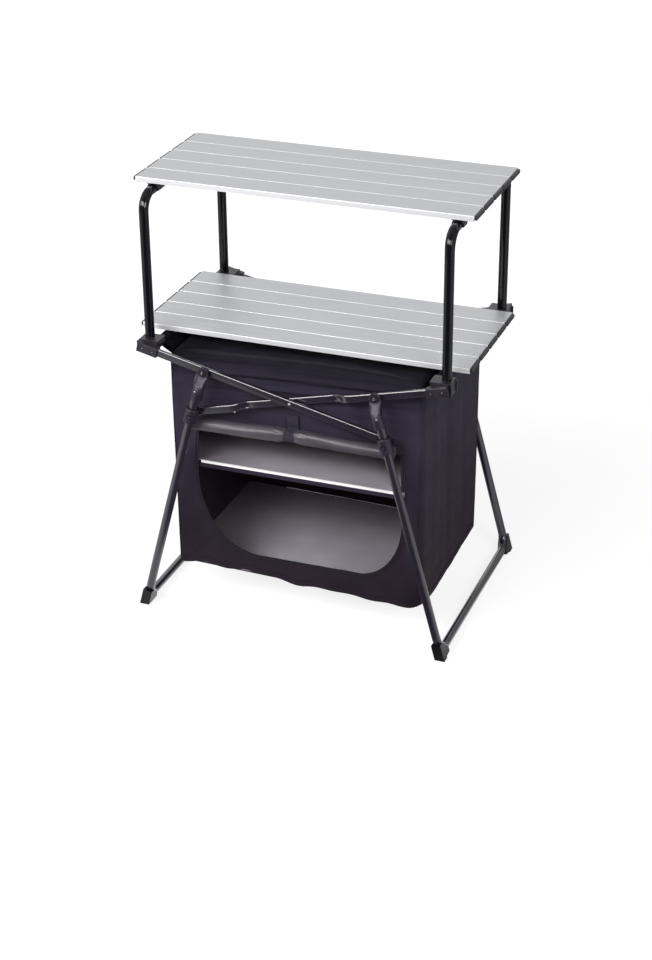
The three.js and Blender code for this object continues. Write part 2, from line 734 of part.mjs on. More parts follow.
// How far the cloth's front stands out at (x, z): soft folds that sag between the upper corners.
function drape(x, z) {
  const below = clothTop - z;
  if (below > foldBand) return 0;
  const sag = foldSag * (1 - (x / clothHalfWidth) ** 2);
  const fade = Math.sin((Math.PI * below) / foldBand) * (1 - (x / clothHalfWidth) ** 4);
  return foldDepth * fade * (1 + Math.sin((2 * Math.PI * (below - sag)) / foldPitch)) / 2;
}

// The cloth's outline at a height share from 0 to 1, drawn in from the outside by inset.
function clothRing(heightShare, inset) {
  const z = THREE.MathUtils.lerp(clothBottom + inset, clothTop - inset, heightShare);
  const corner = THREE.MathUtils.lerp(clothBottomCorner, clothTopCorner, Math.sqrt(heightShare)) - inset;
  const x = clothHalfWidth - inset;
  const y = clothHalfDepth - inset;
  const ring = [];
  const turn = (cx, cy, from) => {
    for (let i = 0; i <= 2; i += 1) {
      const angle = from + (i * Math.PI) / 4;
      ring.push(new THREE.Vector3(cx + corner * Math.cos(angle), cy + corner * Math.sin(angle), z));
    }
  };
  const run = (x0, y0, x1, y1, parts) => {
    for (let i = 1; i < parts; i += 1) {
      const share = i / parts;
      const x = THREE.MathUtils.lerp(x0, x1, share);
      ring.push(new THREE.Vector3(x, THREE.MathUtils.lerp(y0, y1, share), z));
    }
  };
  turn(-x + corner, -y + corner, Math.PI);
  run(-x + corner, -y, x - corner, -y, 14);
  turn(x - corner, -y + corner, (3 * Math.PI) / 2);
  run(x, -y + corner, x, y - corner, 2);
  turn(x - corner, y - corner, 0);
  run(x - corner, y, -x + corner, y, 2);
  turn(-x + corner, y - corner, Math.PI / 2);
  run(-x, y - corner, -x, -y + corner, 2);
  for (const point of ring) {
    if (point.y < -y + corner / 4) point.y -= drape(point.x, z);
  }
  return ring;
}

// The cloth box: thin walls, roof and floor, with the door's opening cut in the front.
function clothCabinet() {
  const plainShares = [0, 0.12, 0.45];
  const foldLevels = 11;
  const bandShare = foldBand / (clothTop - clothBottom);
  const foldShares = Array.from({ length: foldLevels + 1 }, (_, i) => 1 - bandShare * (1 - i / foldLevels));
  const shell = (inset) => skinned([...plainShares, ...foldShares].map((share) => clothRing(share, inset)));
  const door = new THREE.Shape();
  const middleZ = (doorBottom + doorTop) / 2;
  const low = doorBottom - middleZ;
  const high = doorTop - middleZ;
  const left = doorOffset - doorHalfWidth;
  const right = doorOffset + doorHalfWidth;
  const roundCorner = (x, [width, height], from) => {
    door.absellipse(x, low + height, width, height, from, from + Math.PI / 2);
  };
  door.moveTo(left, high);
  door.lineTo(left, low + doorLeftCorner[1]);
  roundCorner(left + doorLeftCorner[0], doorLeftCorner, Math.PI);
  roundCorner(right - doorRightCorner[0], doorRightCorner, (3 * Math.PI) / 2);
  door.lineTo(right, high);
  door.closePath();
  const wallFront = -clothHalfDepth;
  const opening = slabAlongY(door, wallFront - cutOverrun, wallFront + clothThickness + cutOverrun)
    .translate(0, 0, middleZ);
  return shaped([shell(0)], [shell(clothThickness), opening]);
}

add('cloth_cabinet', clothCabinet(), charcoalCloth);

// The hangers: a cloth sleeve round each crossbar, with a flap that is sewn to the side wall.
function clothHanger() {
  const wallX = -clothHalfWidth - seatGap;
  const thickness = hangerThickness;
  const tunnel = slabAlongY(roundSection(hangerOuterRadius, crossbarRadius + slidingGap), -hangerHalfLength,
    hangerHalfLength).translate(-crossbarX, 0, crossbarZ);
  const middleRadius = crossbarRadius + slidingGap + thickness / 2;
  const from = new THREE.Vector2(-crossbarX + middleRadius * Math.sin(Math.PI / 4),
    crossbarZ - middleRadius * Math.cos(Math.PI / 4));
  const flap = slabAlongY([[from.x, from.y], [wallX - thickness, hangerLapTop],
    [wallX - thickness, hangerLapTop - hangerLap], [wallX, hangerLapTop - hangerLap], [wallX, hangerLapTop],
    [from.x + thickness, from.y + joinOverlap]], -hangerHalfLength, hangerHalfLength);
  const crossbarRoom = barAlongY(crossbarRadius + slidingGap, -crossbarX, crossbarZ,
    -hangerHalfLength - cutOverrun, hangerHalfLength + cutOverrun);
  return shaped([tunnel, flap], [crossbarRoom]);
}

const hangerGeometry = clothHanger();
add('left_cloth_hanger', hangerGeometry, charcoalCloth);
add('right_cloth_hanger', hangerGeometry, charcoalCloth).scale.x = -1;

// The shelf and floor panels inside the cloth, and the pale edging on the shelf's front.
const panelHalfWidth = clothHalfWidth - clothThickness - panelGap;
const panelHalfDepth = clothHalfDepth - clothThickness - panelGap;
const shelfFront = -panelHalfDepth + edgeBarDepth + seatGap;

// A flat panel with round corners, whose top is at z = 0.
function flatPanel(halfWidth, front, back, corner) {
  const outline = roundedRectangle(2 * halfWidth, back - front, corner);
  return new THREE.ExtrudeGeometry(outline, { depth: panelThickness, bevelEnabled: false, curveSegments: 3 })
    .translate(0, (front + back) / 2, -panelThickness);
}

add('shelf_panel', flatPanel(panelHalfWidth, shelfFront, panelHalfDepth, shelfCorner), greyPanelCloth)
  .position.z = shelfTop;
add('shelf_edging', box(-edgeBarHalfLength, edgeBarHalfLength, -panelHalfDepth, shelfFront - seatGap,
  shelfTop - edgeBarHeight, shelfTop), paleEdging);
const floorPanelTop = clothBottom + clothThickness + seatGap + panelThickness;
add('floor_panel', flatPanel(panelHalfWidth, -panelHalfDepth, panelHalfDepth, floorCorner), greyPanelCloth)
  .position.z = floorPanelTop;

// The door, rolled up along the top of its opening and drawn in a little by its strap.
const rollY = -clothHalfDepth - seatGap - strapThickness - slidingGap - rollRadius;
function rolledDoor() {
  const profile = [[0, -rollHalfLength], [rollRadius - rollEndRound, -rollHalfLength],
    [rollRadius, -rollHalfLength + rollEndRound], [rollRadius, strapX - rollPinchHalfLength],
    [rollRadius - rollPinch, strapX - strapWidth / 2], [rollRadius - rollPinch, strapX + strapWidth / 2],
    [rollRadius, strapX + rollPinchHalfLength], [rollRadius, rollHalfLength - rollEndRound],
    [rollRadius - rollEndRound, rollHalfLength], [0, rollHalfLength]];
  return turnedAboutY(profile, 18).rotateZ(-Math.PI / 2).translate(0, rollY, rollHeight);
}

add('rolled_door', rolledDoor(), charcoalCloth);

// The strap: a band round the roll, with its end running up the cloth.
function doorStrap() {
  const inner = rollRadius - rollPinch + slidingGap;
  const outer = inner + strapThickness;
  const x0 = strapX - strapWidth / 2;
  const turned = roundSection(outer, inner, 20);
  const band = slabAlongX(turned, x0, x0 + strapWidth).translate(0, rollY, rollHeight);
  const back = -clothHalfDepth - seatGap;
  const tail = box(x0, x0 + strapWidth, back - strapThickness, back, rollHeight + inner / 2, strapTailTop);
  const bridge = box(x0, x0 + strapWidth, rollY, back, rollHeight + inner, rollHeight + outer);
  return shaped([band, tail, bridge]);
}

add('door_strap', doorStrap(), charcoalCloth);

// The slider of the door's zip, with its pull hanging.
const zipBack = -clothHalfDepth - seatGap;
add('zip_slider', shaped([
  box(zipX - zipBodyWidth / 2, zipX + zipBodyWidth / 2, zipBack - zipBodyDepth, zipBack,
    shelfTop - zipBodyLength / 2, shelfTop + zipBodyLength / 2),
  box(zipX - zipPullWidth / 2, zipX + zipPullWidth / 2, zipBack - zipBodyDepth - zipPullDepth,
    zipBack - zipBodyDepth + joinOverlap, shelfTop - zipPullLength, shelfTop + zipBodyLength / 4),
]), rivetSteel);

export default cabinet;
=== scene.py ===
# %% [markdown]
# # A folding camp kitchen
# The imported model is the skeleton: every piece made here rides on one of its bodies, so the frame folds,
# the tabletops roll up and the buttons press in with no second set of numbers. Lengths are metres, the
# front faces -Y and the floor is at z = 0.

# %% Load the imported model
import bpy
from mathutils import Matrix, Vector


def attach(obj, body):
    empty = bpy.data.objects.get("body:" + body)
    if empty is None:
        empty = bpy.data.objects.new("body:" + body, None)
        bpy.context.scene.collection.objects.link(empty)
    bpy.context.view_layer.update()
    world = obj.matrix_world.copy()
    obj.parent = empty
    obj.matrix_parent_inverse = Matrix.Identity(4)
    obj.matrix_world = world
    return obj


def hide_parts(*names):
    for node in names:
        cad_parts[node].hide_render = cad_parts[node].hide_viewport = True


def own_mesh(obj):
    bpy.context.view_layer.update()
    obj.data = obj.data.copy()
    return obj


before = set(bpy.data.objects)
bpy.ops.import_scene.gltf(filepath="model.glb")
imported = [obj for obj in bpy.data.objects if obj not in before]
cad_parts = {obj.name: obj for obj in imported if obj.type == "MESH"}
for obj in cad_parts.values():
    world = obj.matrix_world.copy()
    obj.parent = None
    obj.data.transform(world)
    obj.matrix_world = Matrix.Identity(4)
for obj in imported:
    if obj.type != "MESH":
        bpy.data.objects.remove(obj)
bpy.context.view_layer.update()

import bpy
import bmesh
import numpy as np
from mathutils import Matrix

# %% [markdown]
# The picture was taken with a long lens from the front right and a little above. Blender's sensor is fitted
# to the picture's height here, so the field of view doesn't depend on the width. The place and the angles
# were fitted to the straight edges of the tabletops and the tubes.

# %% The camera
CAMERA_PLACE = (1.4994, -3.9439, 2.4537)
CAMERA_AZIMUTH = 0.365454
CAMERA_ELEVATION = 0.478388
CAMERA_ROLL = -0.008636
SENSOR_HEIGHT_MM = 36
FOCAL_LENGTH_MM = 73.619
camera_data = bpy.data.cameras.new("camera")
camera_data.sensor_fit = "VERTICAL"
camera_data.sensor_height = SENSOR_HEIGHT_MM
camera_data.lens = FOCAL_LENGTH_MM
camera = bpy.data.objects.new("camera", camera_data)
camera.matrix_world = (
    Matrix.Translation(CAMERA_PLACE)
    @ Matrix.Rotation(CAMERA_AZIMUTH, 4, "Z")
    @ Matrix.Rotation(np.pi / 2 - CAMERA_ELEVATION, 4, "X")
    @ Matrix.Rotation(CAMERA_ROLL, 4, "Z")
)
bpy.context.scene.collection.objects.link(camera)
bpy.context.scene.camera = camera
print("camera lens:", camera_data.lens)

# %% [markdown]
# Every surface is a grid of points. A grid can be closed around its columns, as a tube is, or along its
# rows, as a ring is, and a tube's two ends can be closed with flat faces. Which way the faces turn is
# worked out afterwards: a closed form has a positive volume only if its faces point outwards.

# %% Grids of points become surfaces
def rows_of(points):
    """The points as an array of decimal numbers, one row for each point."""
    return np.asarray(points, float)


def surface(points, around=False, along=False, capped=False, away_from=None):
    """Four neighbouring points make a face. The faces are turned over if their volume sum is negative, or, on
    an open sheet, if most of them look towards away_from."""
    points = rows_of(points)
    count = points.shape[0] * points.shape[1]
    index = np.arange(count).reshape(points.shape[:2])
    here = index if along else index[:-1]
    below = np.roll(index, -1, 0) if along else index[1:]
    left, right = (slice(None), slice(None)) if around else (slice(None, -1), slice(1, None))
    step = (lambda grid: np.roll(grid, -1, 1)) if around else (lambda grid: grid[:, right])
    quads = np.stack([here[:, left], step(here), step(below), below[:, left]], -1).reshape(-1, 4)
    ends = [index[0][::-1], index[-1]] if capped else []
    vertices = points.reshape(-1, 3)
    corners = vertices[quads]
    normals = np.cross(corners[:, 2] - corners[:, 0], corners[:, 3] - corners[:, 1])
    reference = vertices.mean(0) if away_from is None else np.asarray(away_from, float)
    if (normals * (corners.mean(1) - reference)).sum() < 0:
        quads = quads[:, ::-1]
        ends = [end[::-1] for end in ends]
    return vertices, quads, ends


def tube(points):
    """A surface closed around its columns, with flat ends."""
    return surface(points, around=True, capped=True)


def closed_ring(points):
    """A surface closed around its columns and along its rows."""
    return surface(points, around=True, along=True)


def piece(name, surfaces, material, body, stands_for=(), slot=None, sharp=35, bevel=0, values=None):
    """Puts surfaces into one mesh whose object sits at the origin, and lets it ride on a body. values are an
    attribute's name and its numbers, one for each point."""
    vertices, faces, used = [], [], 0
    for points, quads, ends in surfaces:
        vertices.append(points)
        faces += (quads + used).tolist() + [(end + used).tolist() for end in ends]
        used += len(points)
    mesh = bpy.data.meshes.new(name)
    mesh.from_pydata(np.concatenate(vertices).tolist(), [], faces)
    if values:
        mesh.attributes.new(values[0], "FLOAT", "POINT").data.foreach_set("value", values[1])
    return finished(name, mesh, material, body, stands_for, sharp, bevel)


def finished(name, mesh, material, body, stands_for=(), sharp=35, bevel=0):
    """Gives a mesh its smoothing, its material and its body."""
    mesh.shade_smooth()
    mesh.set_sharp_from_angle(angle=np.radians(sharp))
    mesh.materials.clear()
    mesh.materials.append(material)
    made = bpy.data.objects.new(name, mesh)
    bpy.context.scene.collection.objects.link(made)
    if bevel:
        rounding = made.modifiers.new("rounding", "BEVEL")
        rounding.width = bevel
        rounding.segments = 2
        rounding.limit_method = "ANGLE"
        rounding.angle_limit = np.radians(sharp)
        rounding.harden_normals = True
    else:
        made.modifiers.new("even_normals", "WEIGHTED_NORMAL").keep_sharp = True
    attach(made, body)
    if stands_for:
        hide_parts(*stands_for)
    return made


# %% [markdown]
# Tubes, rails and straps are all one idea: a flat section carried along a path. A curve object with a bevel
# could do it, but its section can't change on the way. These paths all lie in a plane, so the plane's
# normal is used at every point and the section never twists.

# %% Sections and paths
def unit(vectors):
    """Scales vectors to length one."""
    return vectors / np.linalg.norm(vectors, axis=-1, keepdims=True)


def smooth_step(low, high, value):
    """0 below low, 1 above high, and a smooth S between them."""
    share = np.clip((value - low) / (high - low), 0, 1)
    return share * share * (3 - 2 * share)


def bell(value, middle, width):
    """A smooth hump of height 1 at middle."""
    return np.exp(-(((value - middle) / width) ** 2))


def filleted(corners, radius, steps=4):
    """Rounds a closed outline: each corner becomes a parabola that starts and ends radius away from it."""
    corners = rows_of(corners)
    before, after = np.roll(corners, 1, 0) - corners, np.roll(corners, -1, 0) - corners
    shorter = np.minimum(np.linalg.norm(before, axis=1), np.linalg.norm(after, axis=1))
    reach = np.minimum(radius, 0.45 * shorter)[:, None]
    start, end = corners + unit(before) * reach, corners + unit(after) * reach
    share = np.linspace(0, 1, steps + 1)[:, None, None]
    curve = (1 - share) ** 2 * start + 2 * share * (1 - share) * corners + share**2 * end
    return curve.transpose(1, 0, 2).reshape(-1, corners.shape[1])


def rectangle(width, height, radius, steps=4):
    """A rectangle about the origin with round corners."""
    x, y = width / 2, height / 2
    return filleted([(x, y), (-x, y), (-x, -y), (x, -y)], radius, steps)


def circle(radius, sides=32):
    """Points round a circle."""
    angle = np.linspace(0, 2 * np.pi, sides, endpoint=False)
    return radius * np.stack([np.cos(angle), np.sin(angle)], -1)


def bent(corners, radius, steps=12):
    """A path of straight runs joined by arcs: each arc leaves its run by the sine and 1 minus the cosine."""
    corners = rows_of(corners)
    path = [corners[:1]]
    for before, corner, after in zip(corners, corners[1:], corners[2:]):
        arriving, leaving = unit(corner - before), unit(after - corner)
        turn = np.arccos(np.clip(arriving @ leaving, -1, 1))
        inward = unit(leaving - (leaving @ arriving) * arriving)
        angle = np.linspace(0, turn, steps + 1)[:, None]
        start = corner - arriving * radius * np.tan(turn / 2)
        path.append(start + radius * (np.sin(angle) * arriving + (1 - np.cos(angle)) * inward))
    return np.concatenate(path + [corners[-1:]])


def lengths(path):
    """The distance along a path to each of its points."""
    return np.concatenate([[0], np.cumsum(np.linalg.norm(np.diff(path, axis=0), axis=1))])


def spaced(path, step):
    """The same path with evenly spaced points."""
    length = lengths(path)
    even = np.linspace(0, length[-1], max(2, int(round(length[-1] / step)) + 1))
    return np.stack([np.interp(even, length, axis) for axis in path.T], -1)


def carried(path, section, across):
    """Places a section at each point of a path: its first number beside the path, its second along across."""
    forward = unit(np.gradient(path, axis=0))
    across = unit(rows_of(across))
    beside = unit(np.cross(across, forward))
    section = np.broadcast_to(section, (len(path),) + np.shape(section)[-2:])
    return path[:, None] + section[..., :1] * beside[:, None] + section[..., 1:] * across


def turned(profile, centre, axis, sides=32):
    """Spins (radius, distance) pairs about an axis through centre."""
    axis = unit(rows_of(axis))
    helper = np.array([0, 0, 1.0]) if abs(axis[2]) < 0.9 else np.array([1.0, 0, 0])
    first = unit(np.cross(axis, helper))
    second = np.cross(axis, first)
    ring = circle(1, sides)
    radial = ring[:, :1] * first + ring[:, 1:] * second
    radius, distance = rows_of(profile).T
    return rows_of(centre) + radius[:, None, None] * radial + distance[:, None, None] * axis


# %% [markdown]
# All four corners of the frame are alike. A mirror modifier would join them, but each corner rides on its
# own body, so a piece is drawn once for the front left corner and mirrored by changing the signs of x and
# y. The faces of a mirrored grid turn inside out, which the volume rule above puts right.

# %% The four corners
SIDES = {"left": 1, "right": -1}
ENDS = {"front": 1, "rear": -1}


def mirrored(points, side, end=1):
    """The same points on another side or end of the frame."""
    return points * np.array([side, end, 1])


def at_corners(suffix, tubes, material, body, slot, stands_for=None, rings=(), **options):
    """Makes a piece at each corner from points drawn at the front left one. Tubes get flat ends, and rings
    are closed both ways."""
    for side_name, side in SIDES.items():
        for end_name, end in ENDS.items():
            corner = f"{end_name}_{side_name}"
            made = [closed_ring(mirrored(points, side, end)) for points in rings]
            made += [tube(mirrored(points, side, end)) for points in tubes]
            nodes = [f"{corner}_{stands_for}"] if stands_for else []
            piece(f"{corner}_{suffix}", made, material, body.format(side=side_name, end=end_name), nodes,
                  slot, **options)


# %% [markdown]
# ## Finishes
# A picture of each surface could be wrapped round it, but it would stretch and repeat. Here a finish is a
# Principled shader with a little life added: noise in the piece's own coordinates changes the colour and
# the roughness by a few percent, and a bump gives the grain. Values that are even all over stay on the
# shader's own sockets.

# %% Helpers for finishes
def srgb(*levels):
    """A colour as it is read off a screen, 0 to 255, as the linear light that Blender works in."""
    share = np.array(levels) / 255
    return tuple(np.where(share <= 0.04045, share / 12.92, ((share + 0.055) / 1.055) ** 2.4))


def new_finish(name, colour, roughness, metallic=0.0, **sockets):
    """A material whose even values sit on the shader's own sockets."""
    material = bpy.data.materials.new(name)
    material.use_nodes = True
    values = {"Base Color": (*colour, 1), "Roughness": roughness, "Metallic": metallic}
    values.update({socket.replace("_", " "): value for socket, value in sockets.items()})
    for socket, value in values.items():
        shader_of(material).inputs[socket].default_value = value
    return material


def shader_of(material):
    """The material's Principled shader."""
    return material.node_tree.nodes["Principled BSDF"]


def add_node(material, kind, links=(), **values):
    """Adds a node, sets its input values by name, and links its inputs."""
    tree = material.node_tree
    node = tree.nodes.new(kind)
    for name, value in values.items():
        node.inputs[name.replace("_", " ")].default_value = value
    for name, output in links:
        tree.links.new(output, node.inputs[name])
    return node


def noise(material, size, stretch=(1, 1, 1), detail=3.0):
    """Noise in object coordinates, with lumps about size metres across, drawn out by stretch."""
    place = add_node(material, "ShaderNodeTexCoord").outputs["Object"]
    scale = tuple(1 / (size * share) for share in stretch)
    mapping = add_node(material, "ShaderNodeMapping", [("Vector", place)], Scale=scale)
    return add_node(material, "ShaderNodeTexNoise", [("Vector", mapping.outputs["Vector"])],
                    Scale=1.0, Detail=detail).outputs["Fac"]


# Most of the noise lies between these two values.
NOISE_LOW, NOISE_HIGH = 0.3, 0.7


def tint(material, factor, dark, light):
    """Lets the base colour wander between two colours."""
    ramp = add_node(material, "ShaderNodeValToRGB", [("Fac", factor)])
    ramp.color_ramp.elements[0].position = NOISE_LOW
    ramp.color_ramp.elements[1].position = NOISE_HIGH
    ramp.color_ramp.elements[0].color = (*dark, 1)
    ramp.color_ramp.elements[1].color = (*light, 1)
    material.node_tree.links.new(ramp.outputs["Color"], shader_of(material).inputs["Base Color"])
    return ramp.outputs["Color"]


# A Mix node has a row of sockets for each kind of value. These are the numbers of the ones for colours.
MIX_FACTOR, MIX_FIRST, MIX_SECOND, MIX_RESULT = 0, 6, 7, 2


def colour_mix(material, first, second):
    """Adds a node that mixes two colours, each from a socket or given as a colour."""
    node = add_node(material, "ShaderNodeMix")
    node.data_type = "RGBA"
    for number, colour in ((MIX_FIRST, first), (MIX_SECOND, second)):
        if isinstance(colour, tuple):
            node.inputs[number].default_value = (*colour, 1)
        else:
            material.node_tree.links.new(colour, node.inputs[number])
    return node


def shade_along(material, axis, stops):
    """Multiplies the base colour by a ramp along a direction of the object, which paints shade into the
    colour. The stops give a place in metres and the three shares there."""
    place = add_node(material, "ShaderNodeTexCoord").outputs["Object"]
    product = add_node(material, "ShaderNodeVectorMath", [(0, place)])
    product.operation = "DOT_PRODUCT"
    product.inputs[1].default_value = axis
    along = product.outputs["Value"]
    places = list(stops)
    share = add_node(material, "ShaderNodeMapRange", [("Value", along)], From_Min=places[0],
                     From_Max=places[-1])
    ramp = add_node(material, "ShaderNodeValToRGB", [("Fac", share.outputs["Result"])])
    for number, (spot, shares) in enumerate(stops.items()):
        at = (spot - places[0]) / (places[-1] - places[0])
        stop = ramp.color_ramp.elements[number] if number < 2 else ramp.color_ramp.elements.new(at)
        stop.position, stop.color = at, (*shares, 1)
    colour = shader_of(material).inputs["Base Color"]
    mixed = colour_mix(material, colour.links[0].from_socket, ramp.outputs["Color"])
    mixed.blend_type = "MULTIPLY"
    mixed.inputs[MIX_FACTOR].default_value = 1.0
    material.node_tree.links.new(mixed.outputs[MIX_RESULT], colour)


def vary_roughness(material, factor, low, high):
    """Lets the roughness wander between two values."""
    spread = add_node(material, "ShaderNodeMapRange", [("Value", factor)], To_Min=low, To_Max=high)
    material.node_tree.links.new(spread.outputs["Result"], shader_of(material).inputs["Roughness"])


def bump(material, height, depth, strength=1.0):
    """Raises the surface by depth metres where height is 1. Bumps are chained."""
    normal = shader_of(material).inputs["Normal"]
    before = [("Normal", normal.links[0].from_socket)] if normal.links else []
    node = add_node(material, "ShaderNodeBump", [("Height", height)] + before, Strength=strength,
                    Distance=depth)
    material.node_tree.links.new(node.outputs["Normal"], normal)


def weave(material, pitch):
    """A plain weave: the sines of x, y and z at the yarn's pitch, added up, so it shows on every side."""
    place = add_node(material, "ShaderNodeTexCoord").outputs["Object"]
    turns = (2 * np.pi / pitch,) * 3
    scaled = add_node(material, "ShaderNodeVectorMath", [(0, place)])
    scaled.operation = "MULTIPLY"
    scaled.inputs[1].default_value = turns
    waves = add_node(material, "ShaderNodeVectorMath", [(0, scaled.outputs["Vector"])])
    waves.operation = "SINE"
    total = add_node(material, "ShaderNodeVectorMath", [(0, waves.outputs["Vector"])])
    total.operation = "DOT_PRODUCT"
    total.inputs[1].default_value = (1 / 3, 1 / 3, 1 / 3)
    return total.outputs["Value"]


# %% [markdown]
# Anodised slats are brushed along their length, so the noise is drawn out 300 times along X. A painted
# highlight makes their two rounded top edges paler: a node that finds sharp edges would mark every edge, so
# an attribute of the mesh tells the shader which two are meant. Rivets and screws are plain bright steel.

# %% Metal
anodised = new_finish("anodised_aluminium", srgb(196, 197, 200), 0.42, 0.45)
brushing = noise(anodised, 0.0012, (300, 1, 1), 4.0)
drawn_face = tint(anodised, brushing, srgb(186, 187, 190), srgb(206, 207, 210))
# Painted highlight: the two rounded top edges of each slat get a paler colour, as if they caught the light.
edge_highlight_value = add_node(anodised, "ShaderNodeAttribute")
edge_highlight_value.attribute_name = "edge"
painted_edge_highlight = colour_mix(anodised, drawn_face, srgb(229, 229, 232))
anodised.node_tree.links.new(edge_highlight_value.outputs["Fac"], painted_edge_highlight.inputs[MIX_FACTOR])
anodised.node_tree.links.new(painted_edge_highlight.outputs[MIX_RESULT], shader_of(anodised).inputs["Base Color"])
vary_roughness(anodised, brushing, 0.36, 0.5)
bump(anodised, brushing, 0.00003)

steel = new_finish("rivet_steel", srgb(176, 175, 180), 0.26, 0.85)
vary_roughness(steel, noise(steel, 0.003), 0.18, 0.36)
bump(steel, noise(steel, 0.0008), 0.00002)
print("metals:", len(bpy.data.materials))

# %% [markdown]
# The loops are a glossy black. The legs and rails have a dark satin paint under a clear coat, which mirrors
# the lamps as thin bright lines. The legs' fittings and collars are castings, duller and with a coarser
# grain. Powder coat is never quite flat, so each paint gets a little orange peel.

# %% Paint
loop_paint = new_finish("gloss_black_paint", srgb(9, 8, 14), 0.2, 0.0, Specular_IOR_Level=0.3)
vary_roughness(loop_paint, noise(loop_paint, 0.05), 0.09, 0.14)
bump(loop_paint, noise(loop_paint, 0.002), 0.000006)

frame_paint = new_finish("satin_grey_paint", srgb(30, 23, 40), 0.3, 0.05, Coat_Weight=1.0,
                         Coat_Roughness=0.08)
tint(frame_paint, noise(frame_paint, 0.03), srgb(21, 15, 30), srgb(29, 22, 39))
vary_roughness(frame_paint, noise(frame_paint, 0.08), 0.26, 0.36)
bump(frame_paint, noise(frame_paint, 0.0009), 0.000006)

cast_paint = new_finish("rough_grey_paint", srgb(38, 32, 47), 0.42, 0.3)
tint(cast_paint, noise(cast_paint, 0.012), srgb(34, 28, 43), srgb(46, 40, 56))
bump(cast_paint, noise(cast_paint, 0.0012), 0.00004)
print("with paints:", len(bpy.data.materials))

# %% [markdown]
# Moulded plastic takes on the fine grain of its mould, which a spark has cut. The shoes are the blackest
# and shiniest, the brackets, clips and end caps are a shade greyer, and the rubber seals are dull.

# %% Plastic and rubber
shoe_plastic = new_finish("glossy_black_plastic", srgb(8, 6, 11), 0.3, 0.0, Specular_IOR_Level=0.3)
tint(shoe_plastic, noise(shoe_plastic, 0.02), srgb(6, 5, 9), srgb(11, 9, 14))
bump(shoe_plastic, noise(shoe_plastic, 0.0008), 0.00004)

black_plastic = new_finish("moulded_black_plastic", srgb(29, 27, 34), 0.4)
tint(black_plastic, noise(black_plastic, 0.02), srgb(26, 22, 33), srgb(36, 31, 44))
vary_roughness(black_plastic, noise(black_plastic, 0.04), 0.34, 0.5)
bump(black_plastic, noise(black_plastic, 0.0006), 0.00005)

cap_plastic = new_finish("end_cap_plastic", srgb(27, 26, 31), 0.5)
tint(cap_plastic, noise(cap_plastic, 0.01), srgb(23, 22, 27), srgb(32, 31, 36))
bump(cap_plastic, noise(cap_plastic, 0.0006), 0.00005)

seal_rubber = new_finish("black_rubber", srgb(16, 16, 18), 0.6, 0.0, Specular_IOR_Level=0.3)
tint(seal_rubber, noise(seal_rubber, 0.01), srgb(14, 14, 16), srgb(20, 20, 22))
print("with plastics:", len(bpy.data.materials))

# %% [markdown]
# The cabinet is a plain polyester weave with a slight blue cast. Its coated side, which the shelf and the
# floor show, is smoother, greyer and shinier. Shade is painted into the colours with ramps along a direction,
# which need no unwrapping: one darkens the foot and paints shade on the top edge under the tabletop, one
# paints the tabletop's shadow on the upper left corner, and one paints shade on the left ends of the boards.

# %% Cloth
# Shares of the cloth's colour by height: darker and redder towards the foot, and from 0.58 up painted shade
# that darkens the top edge under the tabletop.
CLOTH_SHADE_BY_HEIGHT = {0.08: (0.58, 0.42, 0.44), 0.20: (0.60, 0.46, 0.50), 0.42: (0.82, 0.78, 0.84),
                   0.50: (1, 1, 1), 0.58: (0.86, 0.86, 0.92), 0.615: (0.66, 0.66, 0.72),
                   0.64: (0.38, 0.38, 0.42), 0.66: (0.25, 0.25, 0.27)}
# Painted shadow of the tabletop on the cloth's upper left corner.
PAINTED_SHADOW_TO_CORNER = {0: (1, 1, 1), 0.740: (1, 1, 1), 0.785: (0.22, 0.22, 0.24), 0.82: (0.15, 0.15, 0.16)}
# Painted shade on the left ends of the shelf and floor boards, where the left wall shades them.
PAINTED_SHADE_ON_BOARDS = {-0.30: (0.42, 0.40, 0.42), -0.22: (0.55, 0.52, 0.55), -0.08: (1, 1, 1), 0.3: (1, 1, 1)}

cloth = new_finish("charcoal_cloth", srgb(49, 45, 58), 0.82, 0.0, Sheen_Weight=0.03, Sheen_Roughness=0.4,
                   Specular_IOR_Level=0.15, Sheen_Tint=(0.80, 0.78, 1.0, 1))
tint(cloth, noise(cloth, 0.09, detail=4.0), srgb(43, 39, 52), srgb(53, 48, 63))
shade_along(cloth, (0, 0, 1), CLOTH_SHADE_BY_HEIGHT)
shade_along(cloth, (-0.5, 0, 1), PAINTED_SHADOW_TO_CORNER)
vary_roughness(cloth, noise(cloth, 0.03), 0.7, 0.9)
bump(cloth, weave(cloth, 0.0011), 0.00012)
bump(cloth, noise(cloth, 0.006, detail=4.0), 0.0003, 0.6)

coated_cloth = new_finish("coated_grey_cloth", srgb(166, 161, 171), 0.42, 0.0)
tint(coated_cloth, noise(coated_cloth, 0.07), srgb(160, 155, 165), srgb(173, 168, 178))
shade_along(coated_cloth, (1, 0, 0), PAINTED_SHADE_ON_BOARDS)
vary_roughness(coated_cloth, noise(coated_cloth, 0.03), 0.36, 0.55)
bump(coated_cloth, weave(coated_cloth, 0.0013), 0.00006)
bump(coated_cloth, noise(coated_cloth, 0.008, detail=4.0), 0.0003, 0.5)

webbing = new_finish("dark_webbing", srgb(46, 43, 53), 0.8, 0.0, Sheen_Weight=0.04, Specular_IOR_Level=0.2)
tint(webbing, noise(webbing, 0.002, (6, 1, 1)), srgb(41, 38, 48), srgb(51, 48, 59))
bump(webbing, weave(webbing, 0.0021), 0.0003)

edging_white = new_finish("pale_edging", srgb(240, 240, 242), 0.4)
tint(edging_white, noise(edging_white, 0.02, (20, 1, 1)), srgb(232, 232, 235), srgb(246, 246, 248))
bump(edging_white, noise(edging_white, 0.0008, (30, 1, 1)), 0.00005)
print("with cloths:", len(bpy.data.materials))

